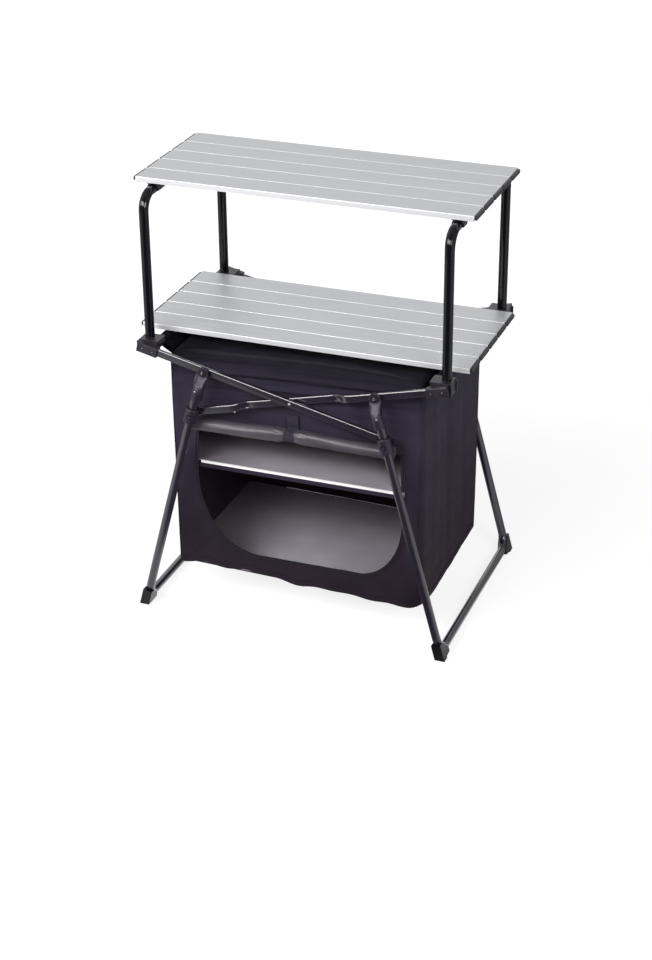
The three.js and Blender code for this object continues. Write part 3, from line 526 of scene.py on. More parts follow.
# %% [markdown]
# ## Tabletops
# A slat is an extruded channel, open below, with a plastic cap on each end. A box with a bevel would look
# the same from above, but it would be solid below and at its ends. So the channel's outline is drawn once,
# as a closed polygon with rounded corners, and carried along X. The caps are a little smaller than the
# channel, which leaves notches between neighbours.

# %% Slats and their end caps
SLAT_COUNT = 5
SLAT_PITCH = 0.0685
SLAT_HALF = 0.03395
SLAT_HEIGHT = 0.0125
SLAT_WALL = 0.0016
SLAT_FOOT = 0.007
SLAT_EDGE = 0.0019
SLAT_FILLET = 0.0004
HIGHLIGHT_EDGE_SHARE = 0.8
TABLE_HALF_LENGTH = 0.4
CAP_LENGTH = 0.006
CAP_INSET = 0.0030
CAP_CORNER = 0.0036
CAP_OVERLAP = 0.0004
CAP_BEVEL = 0.0008
TABLE_HEIGHTS = {"upper": 1.043, "lower": 0.692}


def slat_outline():
    """One half of the channel as (y, z) corners, then the same corners mirrored in reverse order. The two top
    corners get a larger radius than the others."""
    wall, foot, floor = SLAT_HALF - SLAT_WALL, SLAT_HALF - SLAT_FOOT, SLAT_WALL - SLAT_HEIGHT
    half = [(SLAT_HALF, 0), (SLAT_HALF, -SLAT_HEIGHT), (foot, -SLAT_HEIGHT), (foot, floor), (wall, floor),
            (wall, -SLAT_WALL)]
    corners = half + [(-y, z) for y, z in half[::-1]]
    radius = np.array([SLAT_EDGE] + [SLAT_FILLET] * (len(corners) - 2) + [SLAT_EDGE])
    return filleted(corners, radius)


def along_x(outline, x0, x1, y, z):
    """An outline of (y, z) pairs carried straight along X."""
    ends = np.array([x0, x1])[:, None]
    flat = np.broadcast_to(outline, (2,) + outline.shape)
    return np.stack([np.broadcast_to(ends, flat.shape[:2]), flat[..., 0] + y, flat[..., 1] + z], -1)


channel = slat_outline()
# These points lie on the two rounded top edges that carry the painted highlight.
on_highlight_edge = np.abs(channel[:, 0]) > SLAT_HALF - HIGHLIGHT_EDGE_SHARE * SLAT_EDGE
edge_highlight_share = np.tile(on_highlight_edge.astype(float), 2)
cap_outline = rectangle(2 * (SLAT_HALF - CAP_INSET), SLAT_HEIGHT - CAP_INSET, CAP_CORNER)
cap_start = TABLE_HALF_LENGTH - CAP_LENGTH
cap_run = np.array([cap_start - CAP_OVERLAP, TABLE_HALF_LENGTH])
for table, height in TABLE_HEIGHTS.items():
    for number in range(SLAT_COUNT):
        y = (number - SLAT_COUNT // 2) * SLAT_PITCH
        name = f"{table}_slat_{number + 1}"
        body = f"{table}_table" if number == SLAT_COUNT // 2 else name
        piece(f"{name}_channel", [tube(along_x(channel, -cap_start, cap_start, y, height))], anodised, body,
              [name], "satin_aluminium", values=("edge", edge_highlight_share))
        middle = height - SLAT_HEIGHT / 2
        caps = [tube(along_x(cap_outline, *(end * cap_run), y, middle)) for end in (-1, 1)]
        piece(f"{name}_end_caps", caps, cap_plastic, body, (), "black_plastic", bevel=CAP_BEVEL)
print("slats:", SLAT_COUNT * len(TABLE_HEIGHTS))

# %% [markdown]
# ## Loops, legs and rails
# The loops are bent from round tube, and a bend squeezes a tube: it gets a little flatter towards the
# middle of the bend, with fine creases on its inner side. The press has also left a shallow facet on the
# outside of the loops' bends, which ends in a point on both sides. A curve with a round bevel can't show
# that, so the section is a function of the distance from the bend.

# %% Round tubes with squeezed bends
LOOP_RADIUS = 0.011
LOOP_X = -0.356
LOOP_Y = 0.214
LOOP_FOOT = 0.6503
LOOP_BAR = 1.0155
LOOP_BEND = 0.038
LOOP_STEP = 0.0022
SQUEEZE_REACH = 0.024
CREASE_PITCH = 0.0095
FACET_HALF = 0.050
FACET_BLEND = 0.0004
SHOULDER_HEIGHT, SHOULDER_PLACE, SHOULDER_WIDTH = 0.0005, -0.0012, 0.0009


def tube_section(path, radius, bends, squeeze, crease, facet=0.0, sides=48):
    """A circle, changed near each bend by a bell of the distance to its middle: squeeze flattens it in the
    bend's plane, and a cosine creases its inner side. A facet cuts its outer side, deepest in the middle and
    run out in two points. The cut is a softened step, blend * log(1 + exp(over / blend)), with a shoulder."""
    length = lengths(path)
    near = sum(bell(length, middle, SQUEEZE_REACH) for middle in bends)[:, None]
    offset = sum((length - middle) * bell(length, middle, SQUEEZE_REACH) for middle in bends)[:, None]
    run_out = sum(np.clip(1 - ((length - middle) / FACET_HALF) ** 2, 0, 1) ** 1.5
                  for middle in bends)[:, None]
    ring = circle(1, sides)[None]
    inner = np.clip(ring[..., 0], 0, 1) ** 3
    creases = crease * near * inner * (0.5 + 0.5 * np.cos(2 * np.pi * offset / CREASE_PITCH))
    level = radius * (1 - facet * run_out)
    outwards = -radius * (1 - squeeze * near) * ring[..., 0]
    over = outwards - level
    cut = FACET_BLEND * np.log1p(np.exp(np.clip(over / FACET_BLEND, -30, 30)))
    shoulder = SHOULDER_HEIGHT * run_out**0.5 * bell(over, SHOULDER_PLACE, SHOULDER_WIDTH) * (facet > 0)
    beside = -(outwards - cut * (facet > 0) * np.minimum(1, 4 * run_out) + shoulder) - creases
    across = radius * (1 + 0.5 * squeeze * near) * ring[..., 1]
    return np.stack([beside, across], -1)


def bend_middles(path, corners):
    """The distances along a path to its points nearest to the given corners."""
    away = np.linalg.norm(path[:, None] - rows_of(corners)[None], axis=-1)
    return lengths(path)[away.argmin(0)]


loop_corners = [(LOOP_X, -LOOP_Y, LOOP_FOOT), (LOOP_X, -LOOP_Y, LOOP_BAR), (LOOP_X, LOOP_Y, LOOP_BAR),
                (LOOP_X, LOOP_Y, LOOP_FOOT)]
loop_path = spaced(bent(loop_corners, LOOP_BEND), LOOP_STEP)
loop_section = tube_section(loop_path, LOOP_RADIUS, bend_middles(loop_path, loop_corners[1:3]), squeeze=0.1,
                            crease=0.0010, facet=0.05, sides=96)
loop_points = carried(loop_path, loop_section, (-1, 0, 0))
for side_name, side in SIDES.items():
    piece(f"{side_name}_loop_tube", [tube(mirrored(loop_points, side))], loop_paint, f"{side_name}_loop",
          [f"{side_name}_post_loop"], "gloss_black_paint", sharp=28)
print("loop tube length:", round(lengths(loop_path)[-1], 3))

# %% [markdown]
# A leg leans outwards. Its pieces could be drawn upright and turned afterwards, but a finished piece has to
# stay unturned. So they are drawn in the leg's own plane: how far out they are, their y, and how far below
# the leg's pivot they are. One function turns those three numbers into a place.

# %% The leg's own plane
CROSSING = np.array([0, 0, 0.5795])
RAIL_SLOPE = np.radians(13.45)
PIVOT_REACH = 0.2118
COLLAR_REACH = 0.2409
RAIL_AXIS = np.array([-np.cos(RAIL_SLOPE), 0, np.sin(RAIL_SLOPE)])
RAIL_UP = np.array([np.sin(RAIL_SLOPE), 0, np.cos(RAIL_SLOPE)])
LEG_PIVOT = CROSSING + PIVOT_REACH * RAIL_AXIS
COLLAR_PIN = CROSSING + COLLAR_REACH * RAIL_AXIS * np.array([1, 1, -1])
LEG_DOWN = unit(COLLAR_PIN - LEG_PIVOT)
LEG_OUT = np.array([LEG_DOWN[2], 0, -LEG_DOWN[0]])
COLLAR_DROP = np.linalg.norm(COLLAR_PIN - LEG_PIVOT)
LEG_Y = 0.270


def on_axes(origin, first, last, points):
    """The place of (first, y, last) numbers: the origin plus each number times its own direction."""
    points = rows_of(points)
    return origin + points[..., :1] * first + points[..., 1:2] * np.array([0, 1, 0]) + points[..., 2:] * last


def on_leg(points):
    """(outwards, y, below the pivot) becomes a place beside the left leg."""
    return on_axes(LEG_PIVOT, LEG_OUT, LEG_DOWN, points)


LEG_RADIUS = 0.010
LEG_TOP = 0.0403
LEG_BEND = 0.040
LEG_STEP = 0.005
FLOOR_BAR_Z = 0.014
bar_drop = (FLOOR_BAR_Z - LEG_PIVOT[2]) / LEG_DOWN[2]
leg_corners = on_leg([(0, -LEG_Y, LEG_TOP), (0, -LEG_Y, bar_drop), (0, LEG_Y, bar_drop), (0, LEG_Y, LEG_TOP)])
leg_path = spaced(bent(leg_corners, LEG_BEND), LEG_STEP)
leg_section = tube_section(leg_path, LEG_RADIUS, bend_middles(leg_path, leg_corners[1:3]), squeeze=0.08,
                           crease=0.0006)
leg_points = carried(leg_path, leg_section, -LEG_OUT)
for side_name, side in SIDES.items():
    piece(f"{side_name}_leg_tube", [tube(mirrored(leg_points, side))], frame_paint, f"{side_name}_leg",
          [f"{side_name}_leg_loop"], "satin_grey_paint")
print("leg pivot:", LEG_PIVOT.round(4), "collar drop:", round(COLLAR_DROP, 4))

# %% [markdown]
# Each rail is a flat tube. The left rails are straight. The right ones step back behind them at the
# crossing, and the press that makes the step also pinches the tube: there it is thinner and taller, with a
# dent in its face that catches the light. Sculpting that four times would be slow and uneven, so the step,
# the pinch and the dent are functions of the distance along the rail.

# %% Rails
RAIL_Y = -0.247
RAIL_SIZE = (0.010, 0.018)
RAIL_CORNER = 0.0038
RAIL_BEVEL = (0.0017, 0.0026)
RAIL_EDGE = 0.0008
RAIL_FACE = -0.003
RAIL_LOWER_END = -0.2529
RAIL_UPPER_END = 0.350
RAIL_STEP = 0.0020
OUTLINE_STEP = 0.0006
GROOVE_DEPTH, GROOVE_PLACE, GROOVE_WIDTH = 0.0005, -0.0048, 0.0010
JOGGLE_SHIFT = 0.013
JOGGLE_AT = 0.122
JOGGLE_HALF_RUN = 0.019
PINCH_REACH = 0.015
PINCH_LIFT = 0.0010
THINNER_SHARE, TALLER_SHARE = 0.12, 0.10
DENT_DEPTH = 0.0030
DENT_AT, DENT_REACH = JOGGLE_AT - 0.002, 0.013
DENT_PLACE, DENT_WIDTH = -0.0018, 0.0060


def on_rail(points):
    """(along the rail from the crossing, y, above its middle) becomes a place on the left rail."""
    return on_axes(CROSSING, RAIL_AXIS, RAIL_UP, points)


def rail_outline():
    """The rail's section as (y, z): its top edge is bevelled towards the front, and a shallow groove runs
    along the lower third of its face, depth times a bell about the groove's height."""
    y, z = RAIL_SIZE[0] / 2, RAIL_SIZE[1] / 2
    corners = [(y, z), (-y + RAIL_BEVEL[0], z), (-y, z - RAIL_BEVEL[1]), (-y, -z), (y, -z)]
    ring = filleted(corners, np.array([RAIL_CORNER, RAIL_EDGE, RAIL_EDGE, RAIL_BEVEL[1], RAIL_CORNER]), 5)
    ring = spaced(np.concatenate([ring, ring[:1]]), OUTLINE_STEP)[:-1]
    ring[:, 0] += GROOVE_DEPTH * bell(ring[:, 1], GROOVE_PLACE, GROOVE_WIDTH) * (ring[:, 0] < RAIL_FACE)
    return ring


def rail_points(joggled):
    """The rail's section along its course, whose y is a smooth step on both sides of the crossing. Bells
    about the step pinch the section and sink the dent into its face."""
    along = np.arange(RAIL_LOWER_END, RAIL_UPPER_END, RAIL_STEP)
    reach = np.abs(along)
    back = 1 - smooth_step(JOGGLE_AT - JOGGLE_HALF_RUN, JOGGLE_AT + JOGGLE_HALF_RUN, reach)
    shift = JOGGLE_SHIFT * back if joggled else 0 * along
    pinch = (bell(reach, JOGGLE_AT, PINCH_REACH) if joggled else 0 * along)[:, None]
    path = np.stack([along, RAIL_Y + shift, 0 * along], -1)
    ring = rail_outline()[None]
    thick = ring[..., 0] * (1 - THINNER_SHARE * pinch)
    tall = ring[..., 1] * (1 + TALLER_SHARE * pinch) + PINCH_LIFT * pinch
    dent = DENT_DEPTH * bell(reach, DENT_AT, DENT_REACH)[:, None] * bell(ring[..., 1], DENT_PLACE, DENT_WIDTH)
    face = np.where(ring[..., 0] < RAIL_FACE, dent * (pinch > 0), 0)
    return on_rail(carried(path, np.stack([thick + face, tall], -1), (0, 0, 1)))


for side_name, side in SIDES.items():
    points = rail_points(side_name == "right")
    for end_name, end in ENDS.items():
        piece(f"{end_name}_{side_name}_rail_tube", [tube(mirrored(points, side, end))], frame_paint,
              f"{side_name}_rail_frame", [f"{end_name}_{side_name}_rail"], "satin_grey_paint")
print("rail ends:", rail_points(False)[[0, -1], 0].round(4).tolist())

# %% [markdown]
# A leg's top is pressed flat into a tongue. A box and a cylinder could be joined by a boolean, but the real
# one flows from flat to round. So its section is a superellipse whose power falls from 6 to 2 while its
# depth grows.

# %% Leg fittings
TONGUE_HALF_WIDTH = 0.014
TONGUE_HALF_DEPTH = 0.003
TONGUE_Y = -0.260
SLEEVE_RADIUS = 0.013
SLEEVE_SHIFT = -0.0018
SLEEVE_END = 0.066
ROUNDING = (0.014, 0.036)
WAIST_DEPTH, WAIST_DROP, WAIST_REACH = 0.0014, 0.024, 0.009
SCOOP_START = 0.004
SCOOP_SIDE_END = 0.024
SCOOP_DELAY = 0.022
FLAT_POWER, ROUND_POWER = 6, 2
FIRST_TILT = 0.06


def fitting_points(sides=56, top_rows=14, sleeve_rows=44):
    """Superellipse rings from the round top of the tongue to the end of the sleeve. In front the step from
    tongue to sleeve comes later in the middle than at the edges, which leaves a scoop."""
    top = -TONGUE_HALF_WIDTH * np.cos(np.linspace(FIRST_TILT, np.pi / 2, top_rows, endpoint=False))
    drop = np.concatenate([top, np.linspace(0, SLEEVE_END, sleeve_rows)])[:, None]
    angle = np.linspace(0, 2 * np.pi, sides, endpoint=False)[None]
    change = smooth_step(*ROUNDING, drop)
    end_width = np.sqrt(np.clip(TONGUE_HALF_WIDTH**2 - np.minimum(drop, 0) ** 2, 1e-7, None))
    waist = WAIST_DEPTH * bell(drop, WAIST_DROP, WAIST_REACH)
    width = end_width + (SLEEVE_RADIUS - TONGUE_HALF_WIDTH) * change - waist
    power = 2 / (FLAT_POWER - (FLAT_POWER - ROUND_POWER) * change)
    across = width * np.sign(np.cos(angle)) * np.abs(np.cos(angle)) ** power
    middle_share = np.clip(1 - (across / TONGUE_HALF_WIDTH) ** 4, 0, 1)
    swell = smooth_step(SCOOP_START, SCOOP_SIDE_END + SCOOP_DELAY * middle_share, drop) ** 0.9
    growth = np.where(np.sin(angle) < 0, swell, change)
    depth = TONGUE_HALF_DEPTH + (SLEEVE_RADIUS - TONGUE_HALF_DEPTH) * growth
    middle = TONGUE_Y + (-LEG_Y - TONGUE_Y) * growth
    deep = depth * np.sign(np.sin(angle)) * np.abs(np.sin(angle)) ** power
    return on_leg(np.stack([across + SLEEVE_SHIFT * change, middle + deep, drop + 0 * angle], -1))


at_corners("fitting", [fitting_points()], cast_paint, "{side}_leg", "satin_grey_paint", "leg_fitting",
           sharp=50)
print("fitting grid:", fitting_points().shape)

# %% [markdown]
# Rivets are turned shapes, so they are made as on a lathe: each profile is a list of radius and distance
# pairs that is spun about an axis along Y. The leg rivets also carry the spacer between the tongue and the
# rail.

# %% Rivets
LEG_RIVET = [(0.0046, -0.0004), (0.0050, -0.0002), (0.0066, -0.0002), (0.0076, 0.0006), (0.0078, 0.0022),
             (0.0039, 0.0022), (0.0039, 0.0087), (0.0090, 0.0087), (0.0090, 0.0130), (0.0039, 0.0130),
             (0.0039, 0.0239), (0.0075, 0.0239), (0.0075, 0.0250), (0.0062, 0.0261), (0.0020, 0.0261)]
PIN_HEAD = [(0.0022, -0.0012), (0.0036, -0.0010), (0.0045, -0.0002), (0.0047, 0.0008)]
PIN_TIP = [(0.0004, -0.0022), (0.0012, -0.0020), (0.0017, -0.0014), (0.0018, -0.0006)]
CROSSING_RIVET = [(0.0006, 0), (0.0014, 0.0002), (0.0024, 0.0008), (0.0030, 0.0017), (0.0031, 0.0024),
                  (0.0039, 0.0024), (0.0039, 0.0128), (0.0080, 0.0128), (0.0080, 0.0152), (0.0039, 0.0152),
                  (0.0039, 0.0257), (0.0058, 0.0257), (0.0056, 0.0265), (0.0030, 0.0278), (0.0012, 0.0280)]
SMALL_DOME = [(0.0005, -0.0017), (0.0014, -0.0015), (0.0022, -0.0009), (0.0026, 0.0002), (0.0026, 0.0016)]
LEG_RIVET_Y = -0.2655
CROSSING_RIVET_Y = -0.2547
FITTING_RIVET_PLACE = (0.001, -0.2830, 0.041)
STUD_PLACE = (-0.1398, -0.2520, -0.0085)


def turned_along_y(profile, place, sides=32):
    """A profile spun about an axis along Y through a place."""
    return turned(profile, place, (0, 1, 0), sides)


pivot = (LEG_PIVOT[0], LEG_RIVET_Y, LEG_PIVOT[2])
# The black washer round each pivot pin also paints the shade of the recess round the pin.
at_corners("pivot_washer", [turned_along_y(LEG_RIVET, pivot)], seal_rubber, "{side}_rail_frame",
           "rivet_steel", "leg_rivet")
for suffix, profile, material in (("pivot_pin", PIN_HEAD, frame_paint), ("pivot_tip", PIN_TIP, steel)):
    at_corners(suffix, [turned_along_y(profile, pivot, 24)], material, "{side}_rail_frame", "rivet_steel")
fitting_rivet = turned_along_y(SMALL_DOME, on_leg(FITTING_RIVET_PLACE), 20)
at_corners("fitting_rivet", [fitting_rivet], steel, "{side}_leg", "rivet_steel")

crossing_pin = turned_along_y(CROSSING_RIVET, (0, CROSSING_RIVET_Y, CROSSING[2]))
stud = turned_along_y(SMALL_DOME, on_rail(STUD_PLACE), 20)
for end_name, end in ENDS.items():
    piece(f"{end_name}_crossing_pin", [tube(mirrored(crossing_pin, 1, end))], steel, "crossing_rivets",
          [f"{end_name}_crossing_rivet"], "rivet_steel")
    piece(f"{end_name}_right_rail_stud", [tube(mirrored(stud, -1, end))], steel, "right_rail_frame", (),
          "rivet_steel")
print("rivets stand out to y =", round(float(crossing_pin[..., 1].min()), 4))

# %% [markdown]
# A collar slides on the leg, and its push button locks it. It is a turned ring with a pocket for the
# button. A boolean could cut the pocket, but it leaves long thin faces that shade badly. So the grid points
# within half a cell of the pocket's rim are moved onto it, which makes a clean circle, and those inside it
# are sunk.

# %% Collars, their seals and their buttons
COLLAR_RADIUS = 0.0155
COLLAR_HALF = 0.0185
COLLAR_BORE = 0.0103
COLLAR_EDGE = 0.0008
COLLAR_INSET = 0.001
RECESS_RADIUS = 0.0130
RECESS_DEPTH = 0.003
POCKET_RADIUS = 0.0071
POCKET_DEPTH = 0.0024
HALF_CELL = 0.0006
COLLAR_BOSS = [(0.0080, 0.0108), (0.0080, 0.0170), (0.0074, 0.0177)]
SEAL = [(0.0104, 0), (0.0128, 0), (0.0128, 0.0030), (0.0121, 0.0038), (0.0104, 0.0038)]
BUTTON = [(0.0010, 0.0009), (0.0026, 0.0007), (0.0038, 0.0002), (0.0044, 0.0003), (0.0048, 0.0010),
          (0.0048, 0.0034)]
BUTTON_SEAT = [(0.0030, 0), (0.0070, 0), (0.0070, 0.0008)]
BUTTON_OUT = 0.0170
SEAT_OUT = 0.0136


def around_leg(radius, angle, drop):
    """Cylinder coordinates about the leg's axis, with angle 0 facing the front."""
    return on_leg(np.stack([radius * np.sin(angle), -LEG_Y - radius * np.cos(angle), drop], -1))


def collar_points(columns=96, rows=36):
    """The outside is a grid of arc length and drop with a sunk circle, and the bore closes it to a ring."""
    edge = COLLAR_HALF - COLLAR_INSET
    angle = np.linspace(-np.pi, np.pi, columns, endpoint=False)
    girth, drop = np.meshgrid(angle * COLLAR_RADIUS, np.linspace(-edge, edge, rows))
    distance = np.hypot(girth, drop)
    on_rim = np.abs(distance - POCKET_RADIUS) < HALF_CELL
    pull = np.where(on_rim, POCKET_RADIUS / np.maximum(distance, 1e-6), 1)
    radius = np.where((distance < POCKET_RADIUS) & ~on_rim, COLLAR_RADIUS - POCKET_DEPTH, COLLAR_RADIUS)
    outside = np.stack([radius, girth * pull / COLLAR_RADIUS, drop * pull], -1)
    shoulder, recess_end = COLLAR_RADIUS - COLLAR_EDGE, RECESS_DEPTH - COLLAR_HALF
    profile = [(shoulder, COLLAR_HALF), (COLLAR_BORE, COLLAR_HALF), (COLLAR_BORE, recess_end),
               (RECESS_RADIUS, recess_end), (RECESS_RADIUS, -COLLAR_HALF), (shoulder, -COLLAR_HALF)]
    rest = np.array([np.stack([0 * angle + r, angle, 0 * angle + d], -1) for r, d in profile])
    grid = np.concatenate([outside, rest])
    return around_leg(grid[..., 0], grid[..., 1], grid[..., 2] + COLLAR_DROP)


collar_middle = on_leg((0, -LEG_Y, COLLAR_DROP))
at_corners("collar", [turned_along_y(COLLAR_BOSS, collar_middle)], cast_paint, "{end}_{side}_collar",
           "satin_grey_paint", "sliding_collar", rings=[collar_points()], sharp=50)

seal = turned(SEAL, on_leg((0, -LEG_Y, COLLAR_DROP - COLLAR_HALF + RECESS_DEPTH)), -LEG_DOWN)
button_seat = turned_along_y(BUTTON_SEAT, collar_middle - (0, SEAT_OUT, 0))
at_corners("collar_seal", [button_seat], seal_rubber, "{end}_{side}_collar", "black_plastic", rings=[seal])

button = turned_along_y(BUTTON, collar_middle - (0, BUTTON_OUT, 0))
at_corners("push_button", [button], cast_paint, "{end}_{side}_button", "black_plastic", "collar_button")
print("collar grid:", collar_points().shape)

# %% [markdown]
# The shoes under the legs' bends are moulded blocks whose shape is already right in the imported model. A
# copy of each gets its doubles merged, its flat faces joined and its edges rounded by a bevel, because real
# mouldings have no knife edges.

# %% Shoes
SHOE_BEVEL = 0.0008
SHOE_SHARP = 30
MERGE_DISTANCE = 0.00001


def softened_copy(node, name, material, body, width):
    """Copies a node's mesh, joins its flat faces and rounds its edges."""
    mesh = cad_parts[node].data.copy()
    mesh.name = name
    work = bmesh.new()
    work.from_mesh(mesh)
    bmesh.ops.remove_doubles(work, verts=work.verts, dist=MERGE_DISTANCE)
    bmesh.ops.dissolve_limit(work, angle_limit=np.radians(1), verts=work.verts, edges=work.edges)
    work.to_mesh(mesh)
    work.free()
    for name_of_old in ("custom_normal", "sharp_edge", "sharp_face"):
        if name_of_old in mesh.attributes:
            mesh.attributes.remove(mesh.attributes[name_of_old])
    return finished(name, mesh, material, body, [node], SHOE_SHARP, width)


for side_name in SIDES:
    for end_name in ENDS:
        corner = f"{end_name}_{side_name}"
        softened_copy(f"{corner}_leg_shoe", f"{corner}_shoe", shoe_plastic, f"{side_name}_leg",
                      SHOE_BEVEL)
print("shoes:", len(SIDES) * len(ENDS))

# %% [markdown]
# A clip is a short plastic saddle that snaps over a loop's top bar and holds the tabletop above it. All its
# slices are alike, so one outline carried along Y is enough: an arc round the bar, a wider arc back on each
# side and a flat plate on top.

# %% Clips under the upper tabletop
CLIP_INNER = 0.0113
CLIP_OUTER = 0.0143
# How far below the bar's middle the clip grips, and where its flanks meet the plate, in degrees.
CLIP_GRIP, FLANK_END = 18, 40
CLIP_PLATE = [(0.0150, 0.0112), (0.0150, 0.0147), (-0.0150, 0.0147), (-0.0150, 0.0112)]
CLIP_RUN = (-0.162, -0.137)
CLIP_BEVEL = 0.0005


def along_y(outline, y0, y1):
    """An outline of (x, z) pairs carried straight along Y."""
    ends = np.array([y0, y1])[:, None]
    x, z = rows_of(outline).T
    return np.stack([x + 0 * ends, ends + 0 * x, z + 0 * ends], -1)


def arc(radius, start, end, count):
    """Points on a circle from one angle to another, in degrees: radius times the cosine and the sine."""
    turn = np.radians(np.linspace(start, end, count))
    return radius * np.column_stack([np.cos(turn), np.sin(turn)])


saddle = arc(CLIP_INNER, -CLIP_GRIP, 180 + CLIP_GRIP, 28)
flank = arc(CLIP_OUTER, -CLIP_GRIP, FLANK_END, 8)
clip_outline = np.concatenate([saddle[::-1], flank, CLIP_PLATE, flank[::-1] * (-1, 1)])
at_corners("clip", [along_y(clip_outline + (LOOP_X, LOOP_BAR), *CLIP_RUN)], black_plastic, "{side}_loop",
           "black_plastic", "table_clip", bevel=CLIP_BEVEL)
print("clip outline points:", len(clip_outline))

# %% [markdown]
# A corner bracket is one moulding with three jobs: a sleeve for the rail's end, a block for the loop's foot
# and a round boss between two flanges for the crossbar. Joined by booleans they would need cleaning before
# a bevel, so they stay five simple forms that overlap inside one piece.

# %% Corner brackets
SLEEVE_RUN = (0.331, 0.381)
SLEEVE_Y = -0.2475
SLEEVE_SECTION = (0.0228, 0.019, 0.0022)
BLOCK = [(-0.3730, 0.6480), (-0.3730, 0.6800), (-0.3235, 0.6800), (-0.3320, 0.6610), (-0.3470, 0.6480)]
BLOCK_FILLET = 0.0016
BLOCK_RUN = (-0.2400, -0.1990)
FLANGE = [(-0.3762, 0.6500), (-0.3726, 0.6500), (-0.3726, 0.6770), (-0.3762, 0.6770)]
FLANGE_RUNS = ((-0.2440, -0.2390), (-0.2040, -0.1990))
BOSS = [(0.0108, 0), (0.0108, 0.0330)]
BOSS_PLACE = (-0.3335, -0.2350, 0.6680)
BRACKET_BEVEL = 0.0006
SCREW = [(0.0004, -0.0004), (0.0011, -0.0003), (0.0016, 0.0002), (0.0017, 0.0012)]
# Black rings round the bracket screws paint the shade of the recesses they sit in.
SCREW_RECESS_SHADE = [(0.0036, 0.0001), (0.0040, 0.0004), (0.0040, 0.0020)]
SCREW_REACHES = (0.342, 0.368)
SCREW_Y = -0.2574

sleeve_line = on_rail([(reach, SLEEVE_Y, 0) for reach in SLEEVE_RUN])
bracket = [carried(sleeve_line, rectangle(*SLEEVE_SECTION, 3), (0, 1, 0)),
           along_y(filleted(BLOCK, BLOCK_FILLET), *BLOCK_RUN), turned_along_y(BOSS, BOSS_PLACE)]
bracket += [along_y(FLANGE, *run) for run in FLANGE_RUNS]
at_corners("bracket", bracket, black_plastic, "{side}_rail_frame", "black_plastic", "corner_bracket",
           sharp=30, bevel=BRACKET_BEVEL)
for suffix, profile, material, slot in (("screw_recess_shade", SCREW_RECESS_SHADE, seal_rubber, "black_plastic"),
                                        ("bracket_screws", SCREW, steel, "rivet_steel")):
    heads = [turned_along_y(profile, on_rail((reach, SCREW_Y, 0)), 20) for reach in SCREW_REACHES]
    at_corners(suffix, heads, material, "{side}_rail_frame", slot)
print("forms in a bracket:", len(bracket))

# %% [markdown]
# The crossbars are plain round rods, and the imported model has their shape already. They only get the loops'
# paint.

# %% Crossbars
for name in ("left_crossbar", "right_crossbar"):
    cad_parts[name].data.materials.clear()
    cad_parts[name].data.materials.append(loop_paint)
print("crossbars:", len(SIDES))

# %% [markdown]
# ## The cloth cabinet
# The cabinet is one sheet sewn into a box: four walls and a roof. A cloth simulation could drape it, but it
# puts the folds where it likes, and here they have to lie where the real ones do. So the surface has two
# parameters. One runs round the box, as a rounded rectangle whose corner radius changes with height. The
# other runs up the wall, over the soft top edge and in to the middle of the roof.

# %% The way round the box
BOX_HALF_WIDTH = 0.3055
BOX_HALF_DEPTH = 0.217
BOX_TOP = 0.652
TOP_ROUND = 0.020
CORNER_RADII = (0.016, 0.008)
RIGHT_CORNER_RADII = (0.032, 0.016)
LEFT_BULGE = 0.002
CLOTH_THICKNESS = 0.0016
# A column whose place, from -1 to 1, is past this lies on a wall or at one of its two corners.
ON_WALL = 0.999


def way_round(front=122, corner=7, sides=56, rear=60):
    """For each column, where its straight or corner starts, from -1 to 1, and the direction it faces."""
    parts = []
    for count, start, end, facing in ((front, (-1, -1), (1, -1), -90), (sides, (1, -1), (1, 1), 0),
                                      (rear, (1, 1), (-1, 1), 90), (sides, (-1, 1), (-1, -1), 180)):
        share = np.linspace(0, 1, count + 1)[:, None]
        place = (1 - share) * rows_of(start) + share * rows_of(end)
        parts.append(np.column_stack([place, np.full(count + 1, facing)]))
        turn = np.linspace(facing, facing + 90, corner + 1)[1:-1]
        parts.append(np.column_stack([np.broadcast_to(rows_of(end), (len(turn), 2)), turn]))
    columns = np.concatenate(parts)
    angle = np.radians(columns[:, 2])
    return columns[:, 0], columns[:, 1], np.cos(angle), np.sin(angle)


place_x, place_y, face_x, face_y = way_round()


def ring(radius, inset=0.0):
    """The rounded rectangle at one height: straight runs at the box's walls, corners of the radius for each
    column."""
    radius = np.maximum(radius - inset, 0.003)
    x = place_x * (BOX_HALF_WIDTH - inset - radius) + face_x * radius
    y = place_y * (BOX_HALF_DEPTH - inset - radius) + face_y * radius
    return x, y


def corner_radius(share):
    """The corners' radius at a share of the wall's height: it grows with the share's square root. The front
    right corner is rounder than the others."""
    to_right = np.clip((place_x + 1) / 2, 0, 1) * np.clip((1 - place_y) / 2, 0, 1)
    low, high = [plain + (right - plain) * to_right for plain, right in zip(CORNER_RADII, RIGHT_CORNER_RADII)]
    return low + (high - low) * np.sqrt(share)


# %% [markdown]
# The hem hangs a little lower on the right than on the left, and it ripples where the sheet is slack. Each
# wall runs from that hem to the top edge, and folds are added outwards. A fold is a wave times a bell, so
# it dies away where the real one does: curved swags across the top of the front, upright folds on the side
# walls.

